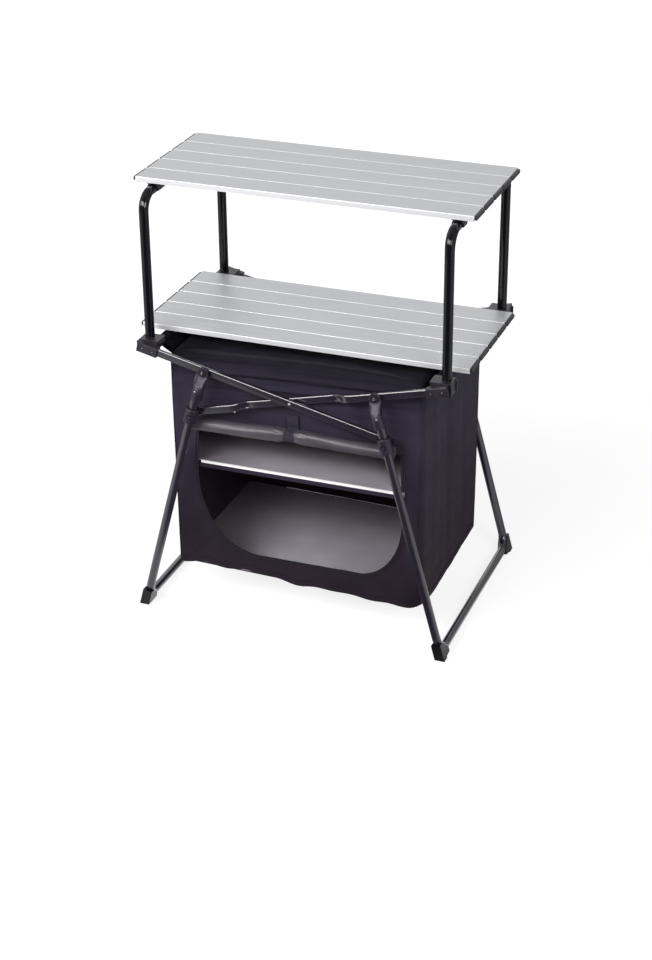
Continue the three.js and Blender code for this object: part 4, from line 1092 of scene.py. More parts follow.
# %% Folds
FRONT_HEM = [(-0.305, 0.098), (-0.247, 0.109), (-0.214, 0.105), (-0.165, 0.102), (-0.127, 0.108),
             (-0.084, 0.103), (-0.042, 0.097), (0.006, 0.091), (0.080, 0.095), (0.122, 0.091), (0.169, 0.089),
             (0.241, 0.085), (0.292, 0.087), (0.306, 0.093)]
RIGHT_HEM = [(-0.217, 0.093), (-0.131, 0.082), (-0.018, 0.083), (0.100, 0.088), (0.217, 0.091)]
LEFT_HEM = [(-0.217, 0.098), (-0.120, 0.092), (0.000, 0.095), (0.120, 0.091), (0.217, 0.092)]
REAR_HEM = [(-0.305, 0.092), (-0.180, 0.090), (-0.060, 0.092), (0.090, 0.089), (0.220, 0.090), (0.305, 0.091)]
SWAG_LEVEL, SWAG_PITCH, SWAG_RISE, SWAG_DIP = 0.0265, 0.033, 0.04, 0.006
SWAG_HEIGHT, SWAG_SINK, SWAG_PLACE, SWAG_FADE = 0.0155, 0.0062, -0.002, 0.070
RIPPLE_HEIGHT, RIPPLE_PITCH, RIPPLE_RISE, RIPPLE_PLACE, RIPPLE_REACH = 0.0022, 0.017, 0.07, 0.045, 0.035
SLACK_HEIGHT, SLACK_PLACE, SLACK_REACH = 0.0024, 0.28, 0.2
# The crease starts at this x and height, and these are the shares of x and of height across it.
PULL_START, PULL_ACROSS = (-0.30, 0.10), (0.67, 0.74)
PULL_DEPTH, PULL_SHIFT, PULL_WIDTH, PULL_X, PULL_REACH = 0.004, 0.004, 0.008, -0.25, 0.05
TUCK_DEPTH, TUCK_X, TUCK_LEAN, TUCK_WIDTH, TUCK_PLACE, TUCK_REACH = 0.007, -0.262, 0.35, 0.016, 0.52, 0.11
HEM_WAVE_HEIGHT, HEM_WAVE_PITCH, HEM_PLACE, HEM_REACH = 0.0030, 0.093, 0.095, 0.035
SMALL_WAVE_HEIGHT = 0.0006
# Height, pitch, lean and start of each upright wave.
UPRIGHT_WAVES = ((0.0017, 0.137, 1.4, 0), (0.0010, 0.061, 2.5, 0), (0.0005, 0.029, 6, 1.1))
ROOF_SAG, ROOF_SAG_SHARE, ROOF_WAVE_HEIGHT, ROOF_HOLE_SHARE = 0.016, 0.3, 0.003, 0.02
LOWER_WALL_SHARE, LOWER_ROWS_SHARE = 0.8, 0.72


def smoothly(value, pairs, window=0.012):
    """Reads a curve given as pairs of numbers, rounded off by averaging it over a window."""
    places, levels = np.array(pairs).T
    return np.mean([np.interp(value + shift, places, levels) for shift in np.linspace(-window, window, 7)], 0)


def hem_height(x, y):
    """The hem's height on whichever wall each column belongs to."""
    walls = [place_y < -ON_WALL, place_x > ON_WALL, place_y > ON_WALL]
    return np.select(walls, [smoothly(x, FRONT_HEM), smoothly(y, RIGHT_HEM), smoothly(x, REAR_HEM)],
                     smoothly(y, LEFT_HEM))


def folds(x, y, girth, front, side):
    """How far the cloth stands out, as a sum of waves times bells. In front: rounded swags under the top
    edge, which run a little uphill to the right and lose height downwards, ripples between them, a slack
    middle, a pulled crease and a tuck at the left, and a wavy hem. On the side walls: upright folds that fade
    towards the corners."""
    below = BOX_TOP - girth
    span = np.clip(1 - (x / BOX_HALF_WIDTH) ** 2, 0, 1)
    level = below + SWAG_RISE * x - SWAG_DIP * (1 - span)
    phase = 2 * np.pi * (level - SWAG_LEVEL) / SWAG_PITCH + 0.5
    crests = 0.5 + 0.5 * np.cos(phase - 0.5 * np.cos(phase))
    ripples = np.sin(2 * np.pi * (below + RIPPLE_RISE * x) / RIPPLE_PITCH + 5 * x)
    ripples = ripples * bell(below, RIPPLE_PLACE, RIPPLE_REACH)
    swags = (SWAG_HEIGHT * crests - SWAG_SINK) * bell(below, SWAG_PLACE, SWAG_FADE) + RIPPLE_HEIGHT * ripples
    slack = SLACK_HEIGHT * np.sin(19 * x + 11 * girth + 0.6) * bell(below, SLACK_PLACE, SLACK_REACH)
    across_pull = PULL_ACROSS[0] * (x - PULL_START[0]) - PULL_ACROSS[1] * (girth - PULL_START[1])
    pull = -PULL_DEPTH * bell(across_pull, PULL_SHIFT, PULL_WIDTH) * bell(x, PULL_X, PULL_REACH)
    across_tuck = x - TUCK_X + TUCK_LEAN * (girth - 0.5)
    tuck = -TUCK_DEPTH * bell(across_tuck, 0, TUCK_WIDTH) * bell(girth, TUCK_PLACE, TUCK_REACH)
    hem = HEM_WAVE_HEIGHT * np.sin(2 * np.pi * x / HEM_WAVE_PITCH + 2.0) * bell(girth, HEM_PLACE, HEM_REACH)
    upright = sum(height * np.sin(2 * np.pi * y / pitch + lean * girth + start)
                  for height, pitch, lean, start in UPRIGHT_WAVES)
    fade = np.cos(np.pi * y / (2 * BOX_HALF_DEPTH)) ** 2 * (0.35 + 0.65 * smooth_step(0.1, 0.5, girth))
    small = SMALL_WAVE_HEIGHT * np.sin(71 * x + 37 * girth) * np.sin(53 * girth - 29 * x + 2 * y)
    in_front = swags * span**0.6 + slack + pull + tuck + hem
    return front * in_front + side * upright * fade + small * (front + side)


def cabinet_grid(wall_rows=96, edge_rows=7, roof_rows=16):
    """The walls from the hem up, the round top edge, and the roof in to its middle. The upper wall has more
    rows, because the swags are there."""
    lower_rows = int(wall_rows * LOWER_ROWS_SHARE)
    up = np.concatenate([np.linspace(0, LOWER_WALL_SHARE, lower_rows, endpoint=False),
                         np.linspace(LOWER_WALL_SHARE, 1, wall_rows - lower_rows)])
    front = np.clip(-face_y, 0, 1) ** 4 * (place_y < -ON_WALL)
    side = np.clip(face_x, 0, 1) ** 4 * (place_x > ON_WALL)
    bulge = LEFT_BULGE * np.clip(-face_x, 0, 1) ** 2 * (place_x < -ON_WALL)
    rows = []
    for share in up:
        x, y = ring(corner_radius(share))
        low = hem_height(x, y)
        z = low + (BOX_TOP - TOP_ROUND - low) * share
        out = folds(x, y, z, front, side) + bulge
        rows.append(np.stack([x + face_x * out, y + face_y * out, z], -1))
    for tilt in np.linspace(0, np.pi / 2, edge_rows + 1)[1:]:
        inset = TOP_ROUND * (1 - np.cos(tilt))
        x, y = ring(corner_radius(1), inset)
        girth = BOX_TOP - TOP_ROUND + TOP_ROUND * tilt
        out = folds(x, y, girth, front, side) + bulge
        z = BOX_TOP - TOP_ROUND * (1 - np.sin(tilt)) + out * np.sin(tilt)
        rows.append(np.stack([x + face_x * out * np.cos(tilt), y + face_y * out * np.cos(tilt), z], -1))
    rim = rows[-1]
    for share in np.linspace(1, ROOF_HOLE_SHARE, roof_rows + 1)[1:]:
        away = 1 - share
        wave = ROOF_WAVE_HEIGHT * np.sin(34 * away + 9 * rim[:, 0]) * away * front
        sag = ROOF_SAG * smooth_step(0, ROOF_SAG_SHARE, away) + wave
        rows.append(np.column_stack([rim[:, :2] * share, BOX_TOP + (rim[:, 2] - BOX_TOP) * share - sag]))
    return np.array(rows)


cloth_grid = cabinet_grid()
print("cloth grid:", cloth_grid.shape)

# %% [markdown]
# The door opening is cut by its outline: two straight sides, a straight sill and two elliptical corners,
# the left one larger because the sheet hangs slack there. A boolean would cut it too, but not along a wavy
# sheet without slivers. So faces inside the outline go, and the grid points left on the ragged edge are
# moved to the nearest point of the outline.

# %% The door opening
DOOR_TOP = 0.478
DOOR_LEFT, DOOR_RIGHT = -0.248, 0.2575
# The centre's x and z and the two radii of each elliptical corner.
LEFT_CORNER = (-0.0975, 0.345, 0.155, 0.196)
RIGHT_CORNER = (0.150, 0.300, 0.1125, 0.151)
DOOR_STEP = 0.002
FRONT_LIMIT, HEIGHT_LIMIT = -0.2, 0.5


def quarter_ellipse(corner, start, count):
    """A quarter of an ellipse from an angle on: its centre plus its radii times the cosine and the sine."""
    x, z, wide, tall = corner
    turn = np.linspace(start, start + np.pi / 2, count)
    return np.column_stack([x + wide * np.cos(turn), z + tall * np.sin(turn)])


def door_outline():
    """Down the left side, round both elliptical corners and up the right side, as (x, z) pairs."""
    left, right = quarter_ellipse(LEFT_CORNER, np.pi, 60), quarter_ellipse(RIGHT_CORNER, 1.5 * np.pi, 50)
    return spaced(np.concatenate([[(DOOR_LEFT, DOOR_TOP)], left, right, [(DOOR_RIGHT, DOOR_TOP)]]), DOOR_STEP)


outline = door_outline()
closed_outline = np.concatenate([outline, spaced(outline[[-1, 0]], DOOR_STEP)[1:-1]])


def inside_outline(points):
    """Counts crossings of a ray towards +x with the outline's edges: an odd count is inside."""
    a, b = closed_outline, np.roll(closed_outline, -1, 0)
    x, z = points[:, None, 0], points[:, None, 1]
    crosses = (a[None, :, 1] > z) != (b[None, :, 1] > z)
    height = np.where(np.abs(b[:, 1] - a[:, 1]) < 1e-9, 1e-9, b[:, 1] - a[:, 1])
    at = a[None, :, 0] + (z - a[None, :, 1]) * (b[:, 0] - a[:, 0]) / height
    return (crosses & (at > x)).sum(1) % 2 == 1


def nearest_on_outline(points):
    """The outline point nearest to each point."""
    away = ((points[:, None] - closed_outline[None]) ** 2).sum(-1)
    return closed_outline[away.argmin(1)]


def cut_door(vertices, quads):
    """Drops the front faces whose middle is inside the outline, and pulls the ragged edge onto it."""
    middle = vertices[quads].mean(1)
    candidates = np.flatnonzero((middle[:, 1] < FRONT_LIMIT) & (middle[:, 2] < HEIGHT_LIMIT))
    gone = candidates[inside_outline(middle[candidates][:, [0, 2]])]
    kept = np.setdiff1d(np.arange(len(quads)), gone)
    rim = np.intersect1d(quads[kept].ravel(), quads[gone].ravel())
    moved = vertices.copy()
    moved[rim[:, None], [0, 2]] = nearest_on_outline(vertices[rim][:, [0, 2]])
    return moved, quads[kept]


def add_wall(made, thickness):
    """Gives a sheet its thickness inwards, with a closed rim."""
    wall = made.modifiers.new("thickness", "SOLIDIFY")
    wall.thickness = thickness
    wall.offset = -1
    wall.use_rim = True
    made.modifiers.move(len(made.modifiers) - 1, 0)


def folds_with_frame(made):
    """Gives the piece its own copy of its mesh."""
    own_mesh(made)
    return made


def cabinet_piece(name, surfaces, material, slot, stands_for=(), **options):
    """A piece that rides on the cabinet, with its own copy of its mesh."""
    return folds_with_frame(piece(name, surfaces, material, "cabinet", stands_for, slot, **options))


vertices, quads, ends = surface(cloth_grid, around=True, away_from=(0, 0, 0.3))
vertices, quads = cut_door(vertices, quads)
roof_hole = [np.arange(len(vertices) - cloth_grid.shape[1], len(vertices))]
cabinet = piece("cabinet_cloth", [(vertices, quads, roof_hole)], cloth, "cabinet", ["cloth_cabinet"],
                "charcoal_cloth", sharp=180)
add_wall(cabinet, CLOTH_THICKNESS)
folds_with_frame(cabinet)
print("cloth faces:", len(quads))

# %% [markdown]
# Sewn details follow the sheet, or they would show as stuck on. The zip tape runs round the door opening
# with a row of teeth on it, a cord lies in each upright corner seam, and the hem is a folded band. They
# could be textures, but their edges catch the light, so they are thin forms carried along lines of the
# sheet.

# %% Zip tape, seams and hem
TAPE_SECTION = (0.011, 0.0011, 0.0005)
TAPE_LIFT = 0.0007
TEETH_RADIUS, TEETH_PITCH, TEETH_DEPTH_SHARE = 0.0012, 0.0042, 0.28
SEAM_ROWS = 100
SEAM_LIFT, SEAM_RADIUS = 0.0009, 0.0015
HEM_ROW = 2
HEM_SKIN, HEM_OUT, HEM_IN, HEM_DROP = 0.0004, 0.0012, 0.0026, 0.0003


def front_depth(x, z):
    """The y of the front wall at (x, z), with its folds."""
    return -BOX_HALF_DEPTH - folds(x, 0 * x, z, 1.0, 0.0)


tape_line = np.column_stack([outline[:, 0], front_depth(*outline.T) - TAPE_LIFT, outline[:, 1]])
tape = cabinet_piece("door_zip_tape", [tube(carried(tape_line, rectangle(*TAPE_SECTION), (0, 1, 0)))], cloth,
                     "charcoal_cloth")
teeth_size = 1 + TEETH_DEPTH_SHARE * np.sin(2 * np.pi * lengths(tape_line) / TEETH_PITCH)
teeth_section = teeth_size[:, None, None] * circle(TEETH_RADIUS, 8)[None]
teeth_points = carried(tape_line - (0, TAPE_LIFT, 0), teeth_section, (0, 1, 0))
teeth = cabinet_piece("door_zip_teeth", [tube(teeth_points)], seal_rubber, "charcoal_cloth")


def corner_column(facing_x, facing_y):
    """The column of the cloth grid that faces most in a given direction at a corner."""
    on_corner = (np.sign(place_x) == np.sign(facing_x)) & (np.sign(place_y) == np.sign(facing_y))
    score = face_x * facing_x + face_y * facing_y - 10 * ~on_corner
    return int(score.argmax())


seams = []
for facing in ((-1, -1), (1, -1), (1, 1), (-1, 1)):
    line = cloth_grid[:SEAM_ROWS, corner_column(*facing)] + SEAM_LIFT * unit(np.array([*facing, 0.0]))
    seams.append(tube(carried(line, circle(SEAM_RADIUS, 8), (facing[1], -facing[0], 0))))
seam_cords = cabinet_piece("corner_seam_cords", seams, cloth, "charcoal_cloth")

outwards = np.stack([face_x, face_y, 0 * face_x], -1)
foot, top, drop = cloth_grid[0], cloth_grid[HEM_ROW], (0, 0, HEM_DROP)
hem_rows = [foot + HEM_SKIN * outwards - drop, foot + HEM_OUT * outwards, top + HEM_OUT * outwards,
            top + HEM_SKIN * outwards, top - HEM_IN * outwards, foot - HEM_IN * outwards - drop]
hem_band = cabinet_piece("cabinet_hem", [closed_ring(np.array(hem_rows))], cloth, "charcoal_cloth")
print("zip length:", round(lengths(tape_line)[-1], 3))

# %% [markdown]
# The shelf and the floor are cloth-covered boards. Two flat boxes would look too hard: a real board sags a
# little under its own weight and its cloth rounds the edges. So a board is a rounded rectangle of rings
# that shrink to the middle on both faces, and its height is a function of x and y. The shelf has a bright
# extruded edge in front.

# %% Shelf, floor and edging
BOARD_EDGE = 0.0006
BOARD_THICKNESS = 0.003
BOARD_HALF_WIDTH = 0.303
# Half the width, the front and the back of each board.
SHELF_PLAN = (0.3030, -0.2110, 0.2146)
FLOOR_PLAN = (0.3025, -0.2135, 0.2135)
UNDERSIDE_PLAN = (0.3035, -0.2148, 0.2148)
SHELF_CORNER = 0.030
SHELF_TOP, SHELF_SAG, SAG_LENGTH = 0.381, 0.003, 0.43
FLOOR_TOP, FLOOR_TILT, FLOOR_WAVE = 0.1005, 0.0075, 0.0012
ABOVE_HEM, LIFT_FROM, LIFT_TO = 0.0080, 0.150, 0.208
FLOOR_CORNERS = (0.014, 0.014, 0.014, 0.032)
UNDERSIDE_DROP, UNDERSIDE_THICKNESS = 0.0034, 0.0016


def board_points(half_width, front, back, corner, height, thickness, rings=14):
    """Rings of one outline: in on the top face, round the edge and in again below. height is a function."""
    shape = rectangle(2 * half_width, back - front, rows_of(corner), 8)
    middle = (front + back) / 2
    inward = np.linspace(0.03, 1, rings)
    share = np.concatenate([inward, [1.0], inward[::-1]])
    level = np.concatenate([np.full(rings, 0.0), [-0.5], np.full(rings, -1.0)]) * thickness
    edge = np.where(share == 1, BOARD_EDGE, 0)
    edge[rings] = 0
    flat = share[:, None, None] * shape[None] * (1 - edge[:, None, None] / half_width)
    x, y = flat[..., 0], flat[..., 1] + middle
    return np.stack([x, y, height(x, y) + level[:, None]], -1)


def shelf_height(x, y):
    """The shelf sags in the middle: a parabola along x times a cosine along y."""
    return SHELF_TOP - SHELF_SAG * (1 - (x / BOARD_HALF_WIDTH) ** 2) * np.cos(np.pi * y / SAG_LENGTH)


def floor_height(x, y):
    """The floor board tilts with the hem, has one soft wave and stays above the hem along the front."""
    tilted = FLOOR_TOP - FLOOR_TILT * x / BOARD_HALF_WIDTH + FLOOR_WAVE * np.sin(9 * x + 7 * y)
    lifted = np.clip(smoothly(x, FRONT_HEM) + ABOVE_HEM - tilted, 0, None)
    return tilted + lifted * smooth_step(LIFT_FROM, LIFT_TO, -y)


def under_floor(x, y):
    """The cloth under the floor board follows the board."""
    return floor_height(x, y) - UNDERSIDE_DROP


shelf_points = board_points(*SHELF_PLAN, SHELF_CORNER, shelf_height, BOARD_THICKNESS)
cabinet_piece("shelf_board", [tube(shelf_points)], coated_cloth, "grey_panel_cloth", ["shelf_panel"])
floor_points = board_points(*FLOOR_PLAN, FLOOR_CORNERS, floor_height, BOARD_THICKNESS)
cabinet_piece("floor_board", [tube(floor_points)], coated_cloth, "grey_panel_cloth", ["floor_panel"])
under_points = board_points(*UNDERSIDE_PLAN, FLOOR_CORNERS, under_floor, UNDERSIDE_THICKNESS)
underside = cabinet_piece("cabinet_underside", [tube(under_points)], cloth, "charcoal_cloth")

EDGING = [(-0.2150, 0.3812), (-0.2113, 0.3812), (-0.2113, 0.3802), (-0.2135, 0.3802), (-0.2135, 0.3760),
          (-0.2113, 0.3760), (-0.2113, 0.3750), (-0.2150, 0.3750)]
EDGING_RUN, EDGING_FILLET = (-0.240, 0.242), 0.0004
BINDING_SECTION, BINDING_RUN, BINDING_PLACE = (0.0024, 0.0118, 0.0008), (-0.246, 0.250), (-0.2118, 0.3688)
PIPING_RUN, PIPING_Y, PIPING_LIFT, PIPING_RADIUS = (-0.20, 0.297), 0.2122, 0.0012, 0.0010

binding = along_x(rectangle(*BINDING_SECTION), *BINDING_RUN, *BINDING_PLACE)
cabinet_piece("shelf_front_binding", [tube(binding)], cloth, "charcoal_cloth")
piping_x = np.linspace(*PIPING_RUN, 60)
piping_y = 0 * piping_x + PIPING_Y
piping_line = np.column_stack([piping_x, piping_y, floor_height(piping_x, piping_y) + PIPING_LIFT])
cabinet_piece("floor_rear_piping", [tube(carried(piping_line, circle(PIPING_RADIUS, 8), (0, 0, 1)))],
              edging_white, "pale_edging")
edging = along_x(filleted(EDGING, EDGING_FILLET), *EDGING_RUN, 0, 0)
cabinet_piece("shelf_edge_strip", [tube(edging)], edging_white, "pale_edging", ["shelf_edging"])
print("shelf sags to z =", round(float(shelf_points[0, :, 2].mean()), 4))

# %% [markdown]
# The door is rolled up and tied. A cylinder would look like a pipe. A real roll is a spiral, so its radius
# drops a little round each turn, which leaves one long edge line. The strap squeezes it, and pleats run
# away from the squeeze on both sides, so the radius is a function of the angle and of the distance to the
# strap.

# %% The rolled door
ROLL_RADIUS = 0.0163
ROLL_Y = -0.2352
ROLL_Z = 0.4925
ROLL_HALF = 0.243
ROLL_START = 0.9
ROLL_DROP, ROLL_TILT = 0.0055, 0.002
ROLL_SWAG, ROLL_SWAG_X, ROLL_SWAG_REACH = 0.002, 0.12, 0.06
SQUEEZE, SQUEEZE_WIDTH = 0.0042, 0.016
BULGE, BULGE_PLACE, BULGE_REACH = 0.0012, 0.050, 0.040
PLEAT_HEIGHT, PLEAT_PLACE, PLEAT_REACH = 0.0007, 0.028, 0.012
SPIRAL_STEP = 0.0010
# The height of each slack wave, its waves round the roll and its wave number along it.
ROLL_WAVES = ((0.0003, 5, 23), (0.0006, 2, -14))
# How far the two inner layers stick out past the roll's half length, and their shares of the radius.
END_REACHES, END_SHARES = (0.001, -0.0015), (0.35, 0.85)
STRAP_X = -0.005


def roll_centre(x):
    """The height of the roll's middle: it hangs in two shallow swags from the strap."""
    swags = ROLL_SWAG * bell(np.abs(x), ROLL_SWAG_X, ROLL_SWAG_REACH)
    return ROLL_Z - ROLL_DROP * (x / ROLL_HALF) ** 2 + ROLL_TILT * x / ROLL_HALF - swags


def roll_points(columns=48, stations=150):
    """Radius as a function of the angle and the distance to the strap, with stepped layers at both ends."""
    layers = -ROLL_HALF - np.array(END_REACHES)
    x = np.concatenate([layers, np.linspace(-ROLL_HALF, ROLL_HALF, stations), -layers[::-1]])
    share = np.concatenate([END_SHARES, np.ones(stations), END_SHARES[::-1]])
    angle = np.linspace(0, 2 * np.pi, columns, endpoint=False)[None]
    reach = np.abs(x - STRAP_X)[:, None]
    squeeze = SQUEEZE * bell(reach, 0, SQUEEZE_WIDTH) - BULGE * bell(reach, BULGE_PLACE, BULGE_REACH)
    pleats = PLEAT_HEIGHT * bell(reach, PLEAT_PLACE, PLEAT_REACH)
    pleats = pleats * np.sin(9 * angle + 3 * np.sin(60 * x[:, None]))
    spiral = SPIRAL_STEP * (angle / (2 * np.pi))
    slack = sum(height * np.sin(waves * angle + along * x[:, None]) for height, waves, along in ROLL_WAVES)
    radius = (ROLL_RADIUS - squeeze + pleats - spiral + slack) * share[:, None]
    turn = angle + ROLL_START
    return np.stack([np.broadcast_to(x[:, None], radius.shape), ROLL_Y + radius * np.cos(turn),
                     roll_centre(x)[:, None] + radius * np.sin(turn)], -1)


roll_cloth = new_finish("rolled_coated_cloth", srgb(66, 62, 70), 0.42)
tint(roll_cloth, noise(roll_cloth, 0.05), srgb(61, 57, 65), srgb(73, 69, 78))
vary_roughness(roll_cloth, noise(roll_cloth, 0.02, (4, 1, 1)), 0.32, 0.5)
bump(roll_cloth, noise(roll_cloth, 0.004, (5, 1, 1), 4.0), 0.0004, 0.7)
roll = cabinet_piece("door_roll", [tube(roll_points())], roll_cloth, "charcoal_cloth", ["rolled_door"],
                     sharp=60)
print("roll grid:", roll_points().shape)

# %% [markdown]
# The strap is a webbing loop that is sewn to the front wall and goes down and round the roll. Its middle
# line is three points at the seam and an arc about the roll's centre, and it twists by less than a
# millimetre.

# %% The door's strap
STRAP_HALF = 0.014
STRAP_THICKNESS = 0.0013
STRAP_SEAM = [(-0.2226, 0.538), (-0.2228, 0.520), (-0.2194, 0.506)]
STRAP_LIFT = 0.0016
STRAP_SWAY = 0.0008
STRAP_STEP = 0.002
# The strap lies on the roll between these angles, in degrees.
STRAP_WRAP = (20, 330)
strap_radius = ROLL_RADIUS - SQUEEZE + STRAP_LIFT
wrap_line = arc(strap_radius, *STRAP_WRAP, 40) + (ROLL_Y, roll_centre(np.array(STRAP_X)))
strap_line = np.concatenate([STRAP_SEAM, wrap_line])
strap_path = spaced(np.column_stack([np.full(len(strap_line), STRAP_X), strap_line]), STRAP_STEP)
strap_path[:, 0] += STRAP_SWAY * np.sin(np.linspace(0, 5, len(strap_path)))
strap_section = rectangle(STRAP_THICKNESS, 2 * STRAP_HALF, 0.0005, 3)
strap = cabinet_piece("door_tie_strap", [tube(carried(strap_path, strap_section, (1, 0, 0)))], webbing,
                      "charcoal_cloth", ["door_strap"])

# %% [markdown]
# The zip slider is a small cast body with a pull that hangs from it. It could ride on the cabinet, but it
# has a body of its own, because it slides along the zip. Both parts are flat sections carried along short
# lines, a little wider and narrower on the way.

# %% The zip slider
ZIP_X = 0.2605
ZIP_Z = 0.381
SLIDER_LIFT = 0.0024
SLIDER_HALF = 0.0055
SLIDER_SECTION = (0.0075, 0.0036, 0.0010)
SLIDER_SHARES = (0.75, 0.9, 1, 1, 0.95, 0.9, 0.95, 1, 0.85)
PULL_SECTION = (0.0044, 0.0011, 0.0005)
PULL_SHARES = (0.6, 1, 1.1)
# How far the pull stands out from the slider, and its height.
PULL_LINE = ((0.0022, 0.3835), (0.0031, 0.3770), (0.0026, 0.3640))


def tapered(line, section, shares):
    """A flat section carried along a line and scaled by a share at each of its points."""
    sections = rectangle(*section)[None] * np.array(shares)[:, None, None]
    return carried(np.array(line), sections, (0, 1, 0))


slider_y = float(front_depth(np.array(ZIP_X), np.array(ZIP_Z))) - SLIDER_LIFT
heights = np.linspace(-SLIDER_HALF, SLIDER_HALF, len(SLIDER_SHARES))
slider_points = tapered([(ZIP_X, slider_y, ZIP_Z + h) for h in heights], SLIDER_SECTION, SLIDER_SHARES)
pull_points = tapered([(ZIP_X, slider_y - out, z) for out, z in PULL_LINE], PULL_SECTION, PULL_SHARES)
folds_with_frame(piece("zip_slider_body", [tube(slider_points), tube(pull_points)], steel, "zip_slider",
                       ["zip_slider"], "rivet_steel"))
print("slider stands at y =", round(slider_y, 4))

# %% [markdown]
# The cabinet hangs from two tunnels of cloth round the crossbars. A tunnel is one long strip: up from the
# wall, round the bar and down again. Solidify could thicken a sheet bent like that, but the strip is
# simpler as a thin section carried along its course, with the tunnel's whole length as one side of the
# section.

# %% Hangers round the crossbars
BAR_X = -0.3335
BAR_Z = 0.6684
TUNNEL_RADIUS = 0.0101
HANGER_LENGTH = 0.396
HANGER_THICKNESS = 0.0013
HANGER_STEP = 0.002
# The strip goes round the crossbar between these angles, in degrees.
HANGER_WRAP = (-35, 215)
HANGER_UP = [(-0.3075, 0.630), (-0.3080, 0.638), (-0.3155, 0.652)]
HANGER_DOWN = [(-0.3330, 0.650), (-0.3110, 0.637), (-0.3096, 0.630)]
# The hangers are near black: darker cloth, with the tabletop's shade painted into the colour.
shaded_hanger_cloth = new_finish("shaded_hanger_cloth", srgb(15, 13, 18), 0.9, 0.0, Specular_IOR_Level=0.1)
tint(shaded_hanger_cloth, noise(shaded_hanger_cloth, 0.02), srgb(12, 10, 15), srgb(19, 17, 23))
bump(shaded_hanger_cloth, weave(shaded_hanger_cloth, 0.0013), 0.00012)
strip = np.concatenate([HANGER_UP, arc(TUNNEL_RADIUS, *HANGER_WRAP, 40) + (BAR_X, BAR_Z), HANGER_DOWN])
strip_path = spaced(np.column_stack([strip[:, 0], np.zeros(len(strip)), strip[:, 1]]), HANGER_STEP)
strip_points = carried(strip_path, rectangle(HANGER_THICKNESS, HANGER_LENGTH, 0.0004, 2), (0, 1, 0))
for side_name, side in SIDES.items():
    hanger = piece(f"{side_name}_hanger_tunnel", [tube(mirrored(strip_points, side))], shaded_hanger_cloth,
                   f"{side_name}_rail_frame", [f"{side_name}_cloth_hanger"], "charcoal_cloth")

# %% [markdown]
# ## Floor and light
# The floor is a plain pale sheet. It glows a little less close to the object than far away, so it renders
# white where nothing shades it, and the rest of its light is reflected, which keeps the object's shadow.
# Glossy paint mirrors whatever stands around it. Real softboxes and dark walls could be placed there, but
# they would also light the scene, so mirrored rays alone see bright and dark patches: a ramp over the
# bearing they come from.

# %% The floor
FLOOR_HALF = 30
FLOOR_GREY, MIRRORED_GREY = 0.30, 0.03
FADE_FROM, FADE_TO = 0.7, 2.4
GLOW_NEAR, GLOW_FAR, GLOW_FOR_LIGHTING = 0.82, 0.97, 0.20
# Brightness at each bearing, in degrees from the front towards the right.
MIRRORED_FLOOR = {-180: 0.45, -100: 0.30, -62: 1.0, -34: 1.0, -22: 0.08, 44: 0.05, 64: 0.90, 96: 0.90,
                  120: 0.30, 180: 0.45}


def by_bearing(material, place, levels):
    """A ramp over a place's bearing, which is the arc tangent of its x over its distance to the front."""
    parts = add_node(material, "ShaderNodeSeparateXYZ", [("Vector", place)])
    towards_front = add_node(material, "ShaderNodeMath", [(0, parts.outputs["Y"])])
    towards_front.operation = "MULTIPLY"
    towards_front.inputs[1].default_value = -1
    bearing = add_node(material, "ShaderNodeMath", [(0, parts.outputs["X"]), (1, towards_front.outputs[0])])
    bearing.operation = "ARCTAN2"
    turn_share = add_node(material, "ShaderNodeMapRange", [("Value", bearing.outputs[0])], From_Min=-np.pi,
                          From_Max=np.pi)
    patches = add_node(material, "ShaderNodeValToRGB", [("Fac", turn_share.outputs["Result"])])
    for number, (degrees, level) in enumerate(levels.items()):
        share = degrees / 360 + 0.5
        stop = patches.color_ramp.elements[number] if number < 2 else patches.color_ramp.elements.new(share)
        stop.position, stop.color = share, (level, level, level, 1)
    return patches.outputs["Color"]


floor_paper = new_finish("white_paper", (FLOOR_GREY,) * 3, 1.0, Specular_IOR_Level=0.0,
                         Emission_Color=(1, 1, 1, 1))
rays = add_node(floor_paper, "ShaderNodeLightPath").outputs
place = add_node(floor_paper, "ShaderNodeTexCoord").outputs["Object"]
away = add_node(floor_paper, "ShaderNodeVectorMath", [(0, place)])
away.operation = "LENGTH"
fade = add_node(floor_paper, "ShaderNodeMapRange", [("Value", away.outputs["Value"])], From_Min=FADE_FROM,
                From_Max=FADE_TO, To_Min=GLOW_NEAR, To_Max=GLOW_FAR)
glow = add_node(floor_paper, "ShaderNodeMapRange",
                [("Value", rays["Is Diffuse Ray"]), ("To Min", fade.outputs["Result"])],
                To_Max=GLOW_FOR_LIGHTING)
seen_floor = add_node(floor_paper, "ShaderNodeMapRange",
                      [("Value", rays["Is Glossy Ray"]), ("To Min", glow.outputs["Result"]),
                       ("To Max", by_bearing(floor_paper, place, MIRRORED_FLOOR))])
floor_grey = add_node(floor_paper, "ShaderNodeMapRange", [("Value", rays["Is Glossy Ray"])],
                      To_Min=FLOOR_GREY, To_Max=MIRRORED_GREY)
for node, socket in ((seen_floor, "Emission Strength"), (floor_grey, "Base Color")):
    floor_paper.node_tree.links.new(node.outputs["Result"], shader_of(floor_paper).inputs[socket])

floor_mesh = bpy.data.meshes.new("studio_floor")
floor_corners = FLOOR_HALF * np.array([(-1, -1, 0), (1, -1, 0), (1, 1, 0), (-1, 1, 0)])
floor_mesh.from_pydata(floor_corners.tolist(), [], [(0, 1, 2, 3)])
floor_mesh.materials.append(floor_paper)
floor = bpy.data.objects.new("studio_floor", floor_mesh)
bpy.context.scene.collection.objects.link(floor)
print("floor half width:", FLOOR_HALF)

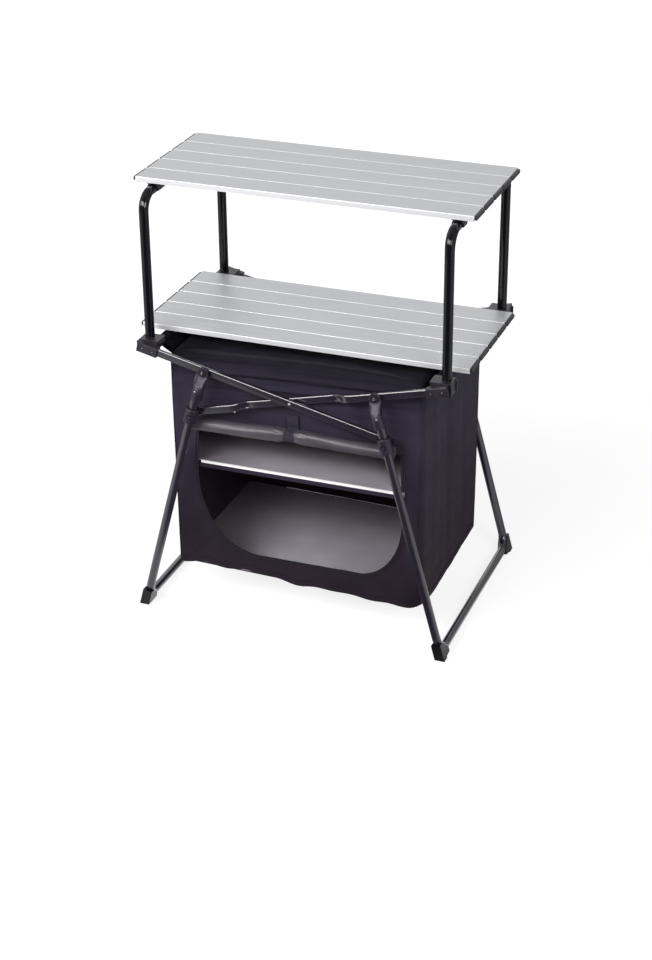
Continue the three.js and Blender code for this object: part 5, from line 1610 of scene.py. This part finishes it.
# %% [markdown]
# A wide softbox on the left of the camera draws the long bright lines along the rails, a smaller one on the
# right fills the shadows, and a faint one behind lights the far edges. The world is white for the camera
# and for transmitted rays. For the rays that light the object it is dimmer, and dimmest overhead, so the
# lamps do most of the work. Mirrored rays see patches by bearing, as on the floor.

# %% Lamps and world
# Each lamp's place, size and power in watts.
LAMPS = {
    "key_softbox": ((-1.7, -3.4, 3.05), (3.6, 1.3), 185),
    "fill_softbox": ((3.1, -2.8, 2.4), (1.6, 1.6), 85),
    "rear_softbox": ((-1.7, 4.7, 2.7), (4.0, 4.0), 28),
}
LAMPS_AIM = (0, 0, 0.55)
SKY_LOW, SKY_HIGH, SKY_HIGH_FROM = 0.52, 0.12, 0.75
MIRRORED_SKY = {-180: 0.60, -110: 0.60, -80: 0.90, -40: 0.80, -28: 0.16, 50: 0.16, 64: 0.75, 88: 0.55,
                140: 0.34, 162: 0.58, 180: 0.60}
for name, (place, size, power) in LAMPS.items():
    lamp = bpy.data.lights.new(name, "AREA")
    lamp.shape = "RECTANGLE"
    lamp.size, lamp.size_y = size
    lamp.energy = power
    light = bpy.data.objects.new(name, lamp)
    aim = Vector(np.array(LAMPS_AIM) - np.array(place))
    light.matrix_world = Matrix.Translation(place) @ aim.to_track_quat("-Z", "Y").to_matrix().to_4x4()
    bpy.context.scene.collection.objects.link(light)

world = bpy.data.worlds.new("studio")
bpy.context.scene.world = world
world.use_nodes = True
sky = world.node_tree.nodes["Background"]
rays = add_node(world, "ShaderNodeLightPath").outputs
seen = add_node(world, "ShaderNodeMath", [(0, rays["Is Camera Ray"]), (1, rays["Is Transmission Ray"])])
seen.operation = "MAXIMUM"
towards = add_node(world, "ShaderNodeTexCoord").outputs["Generated"]
direction = add_node(world, "ShaderNodeSeparateXYZ", [("Vector", towards)])
level = add_node(world, "ShaderNodeMapRange", [("Value", direction.outputs["Z"])], From_Min=0.0,
                 From_Max=SKY_HIGH_FROM, To_Min=SKY_LOW, To_Max=SKY_HIGH)
white = add_node(world, "ShaderNodeMapRange",
                 [("Value", seen.outputs[0]), ("To Min", level.outputs["Result"])], To_Max=1.0)
mirrored_sky = add_node(world, "ShaderNodeMapRange",
                        [("Value", rays["Is Glossy Ray"]), ("To Min", white.outputs["Result"]),
                         ("To Max", by_bearing(world, towards, MIRRORED_SKY))])
world.node_tree.links.new(mirrored_sky.outputs["Result"], sky.inputs["Strength"])
sky.inputs["Color"].default_value = (1, 1, 1, 1)
bpy.context.scene.view_settings.view_transform = "Standard"
print("lamps:", len(LAMPS))
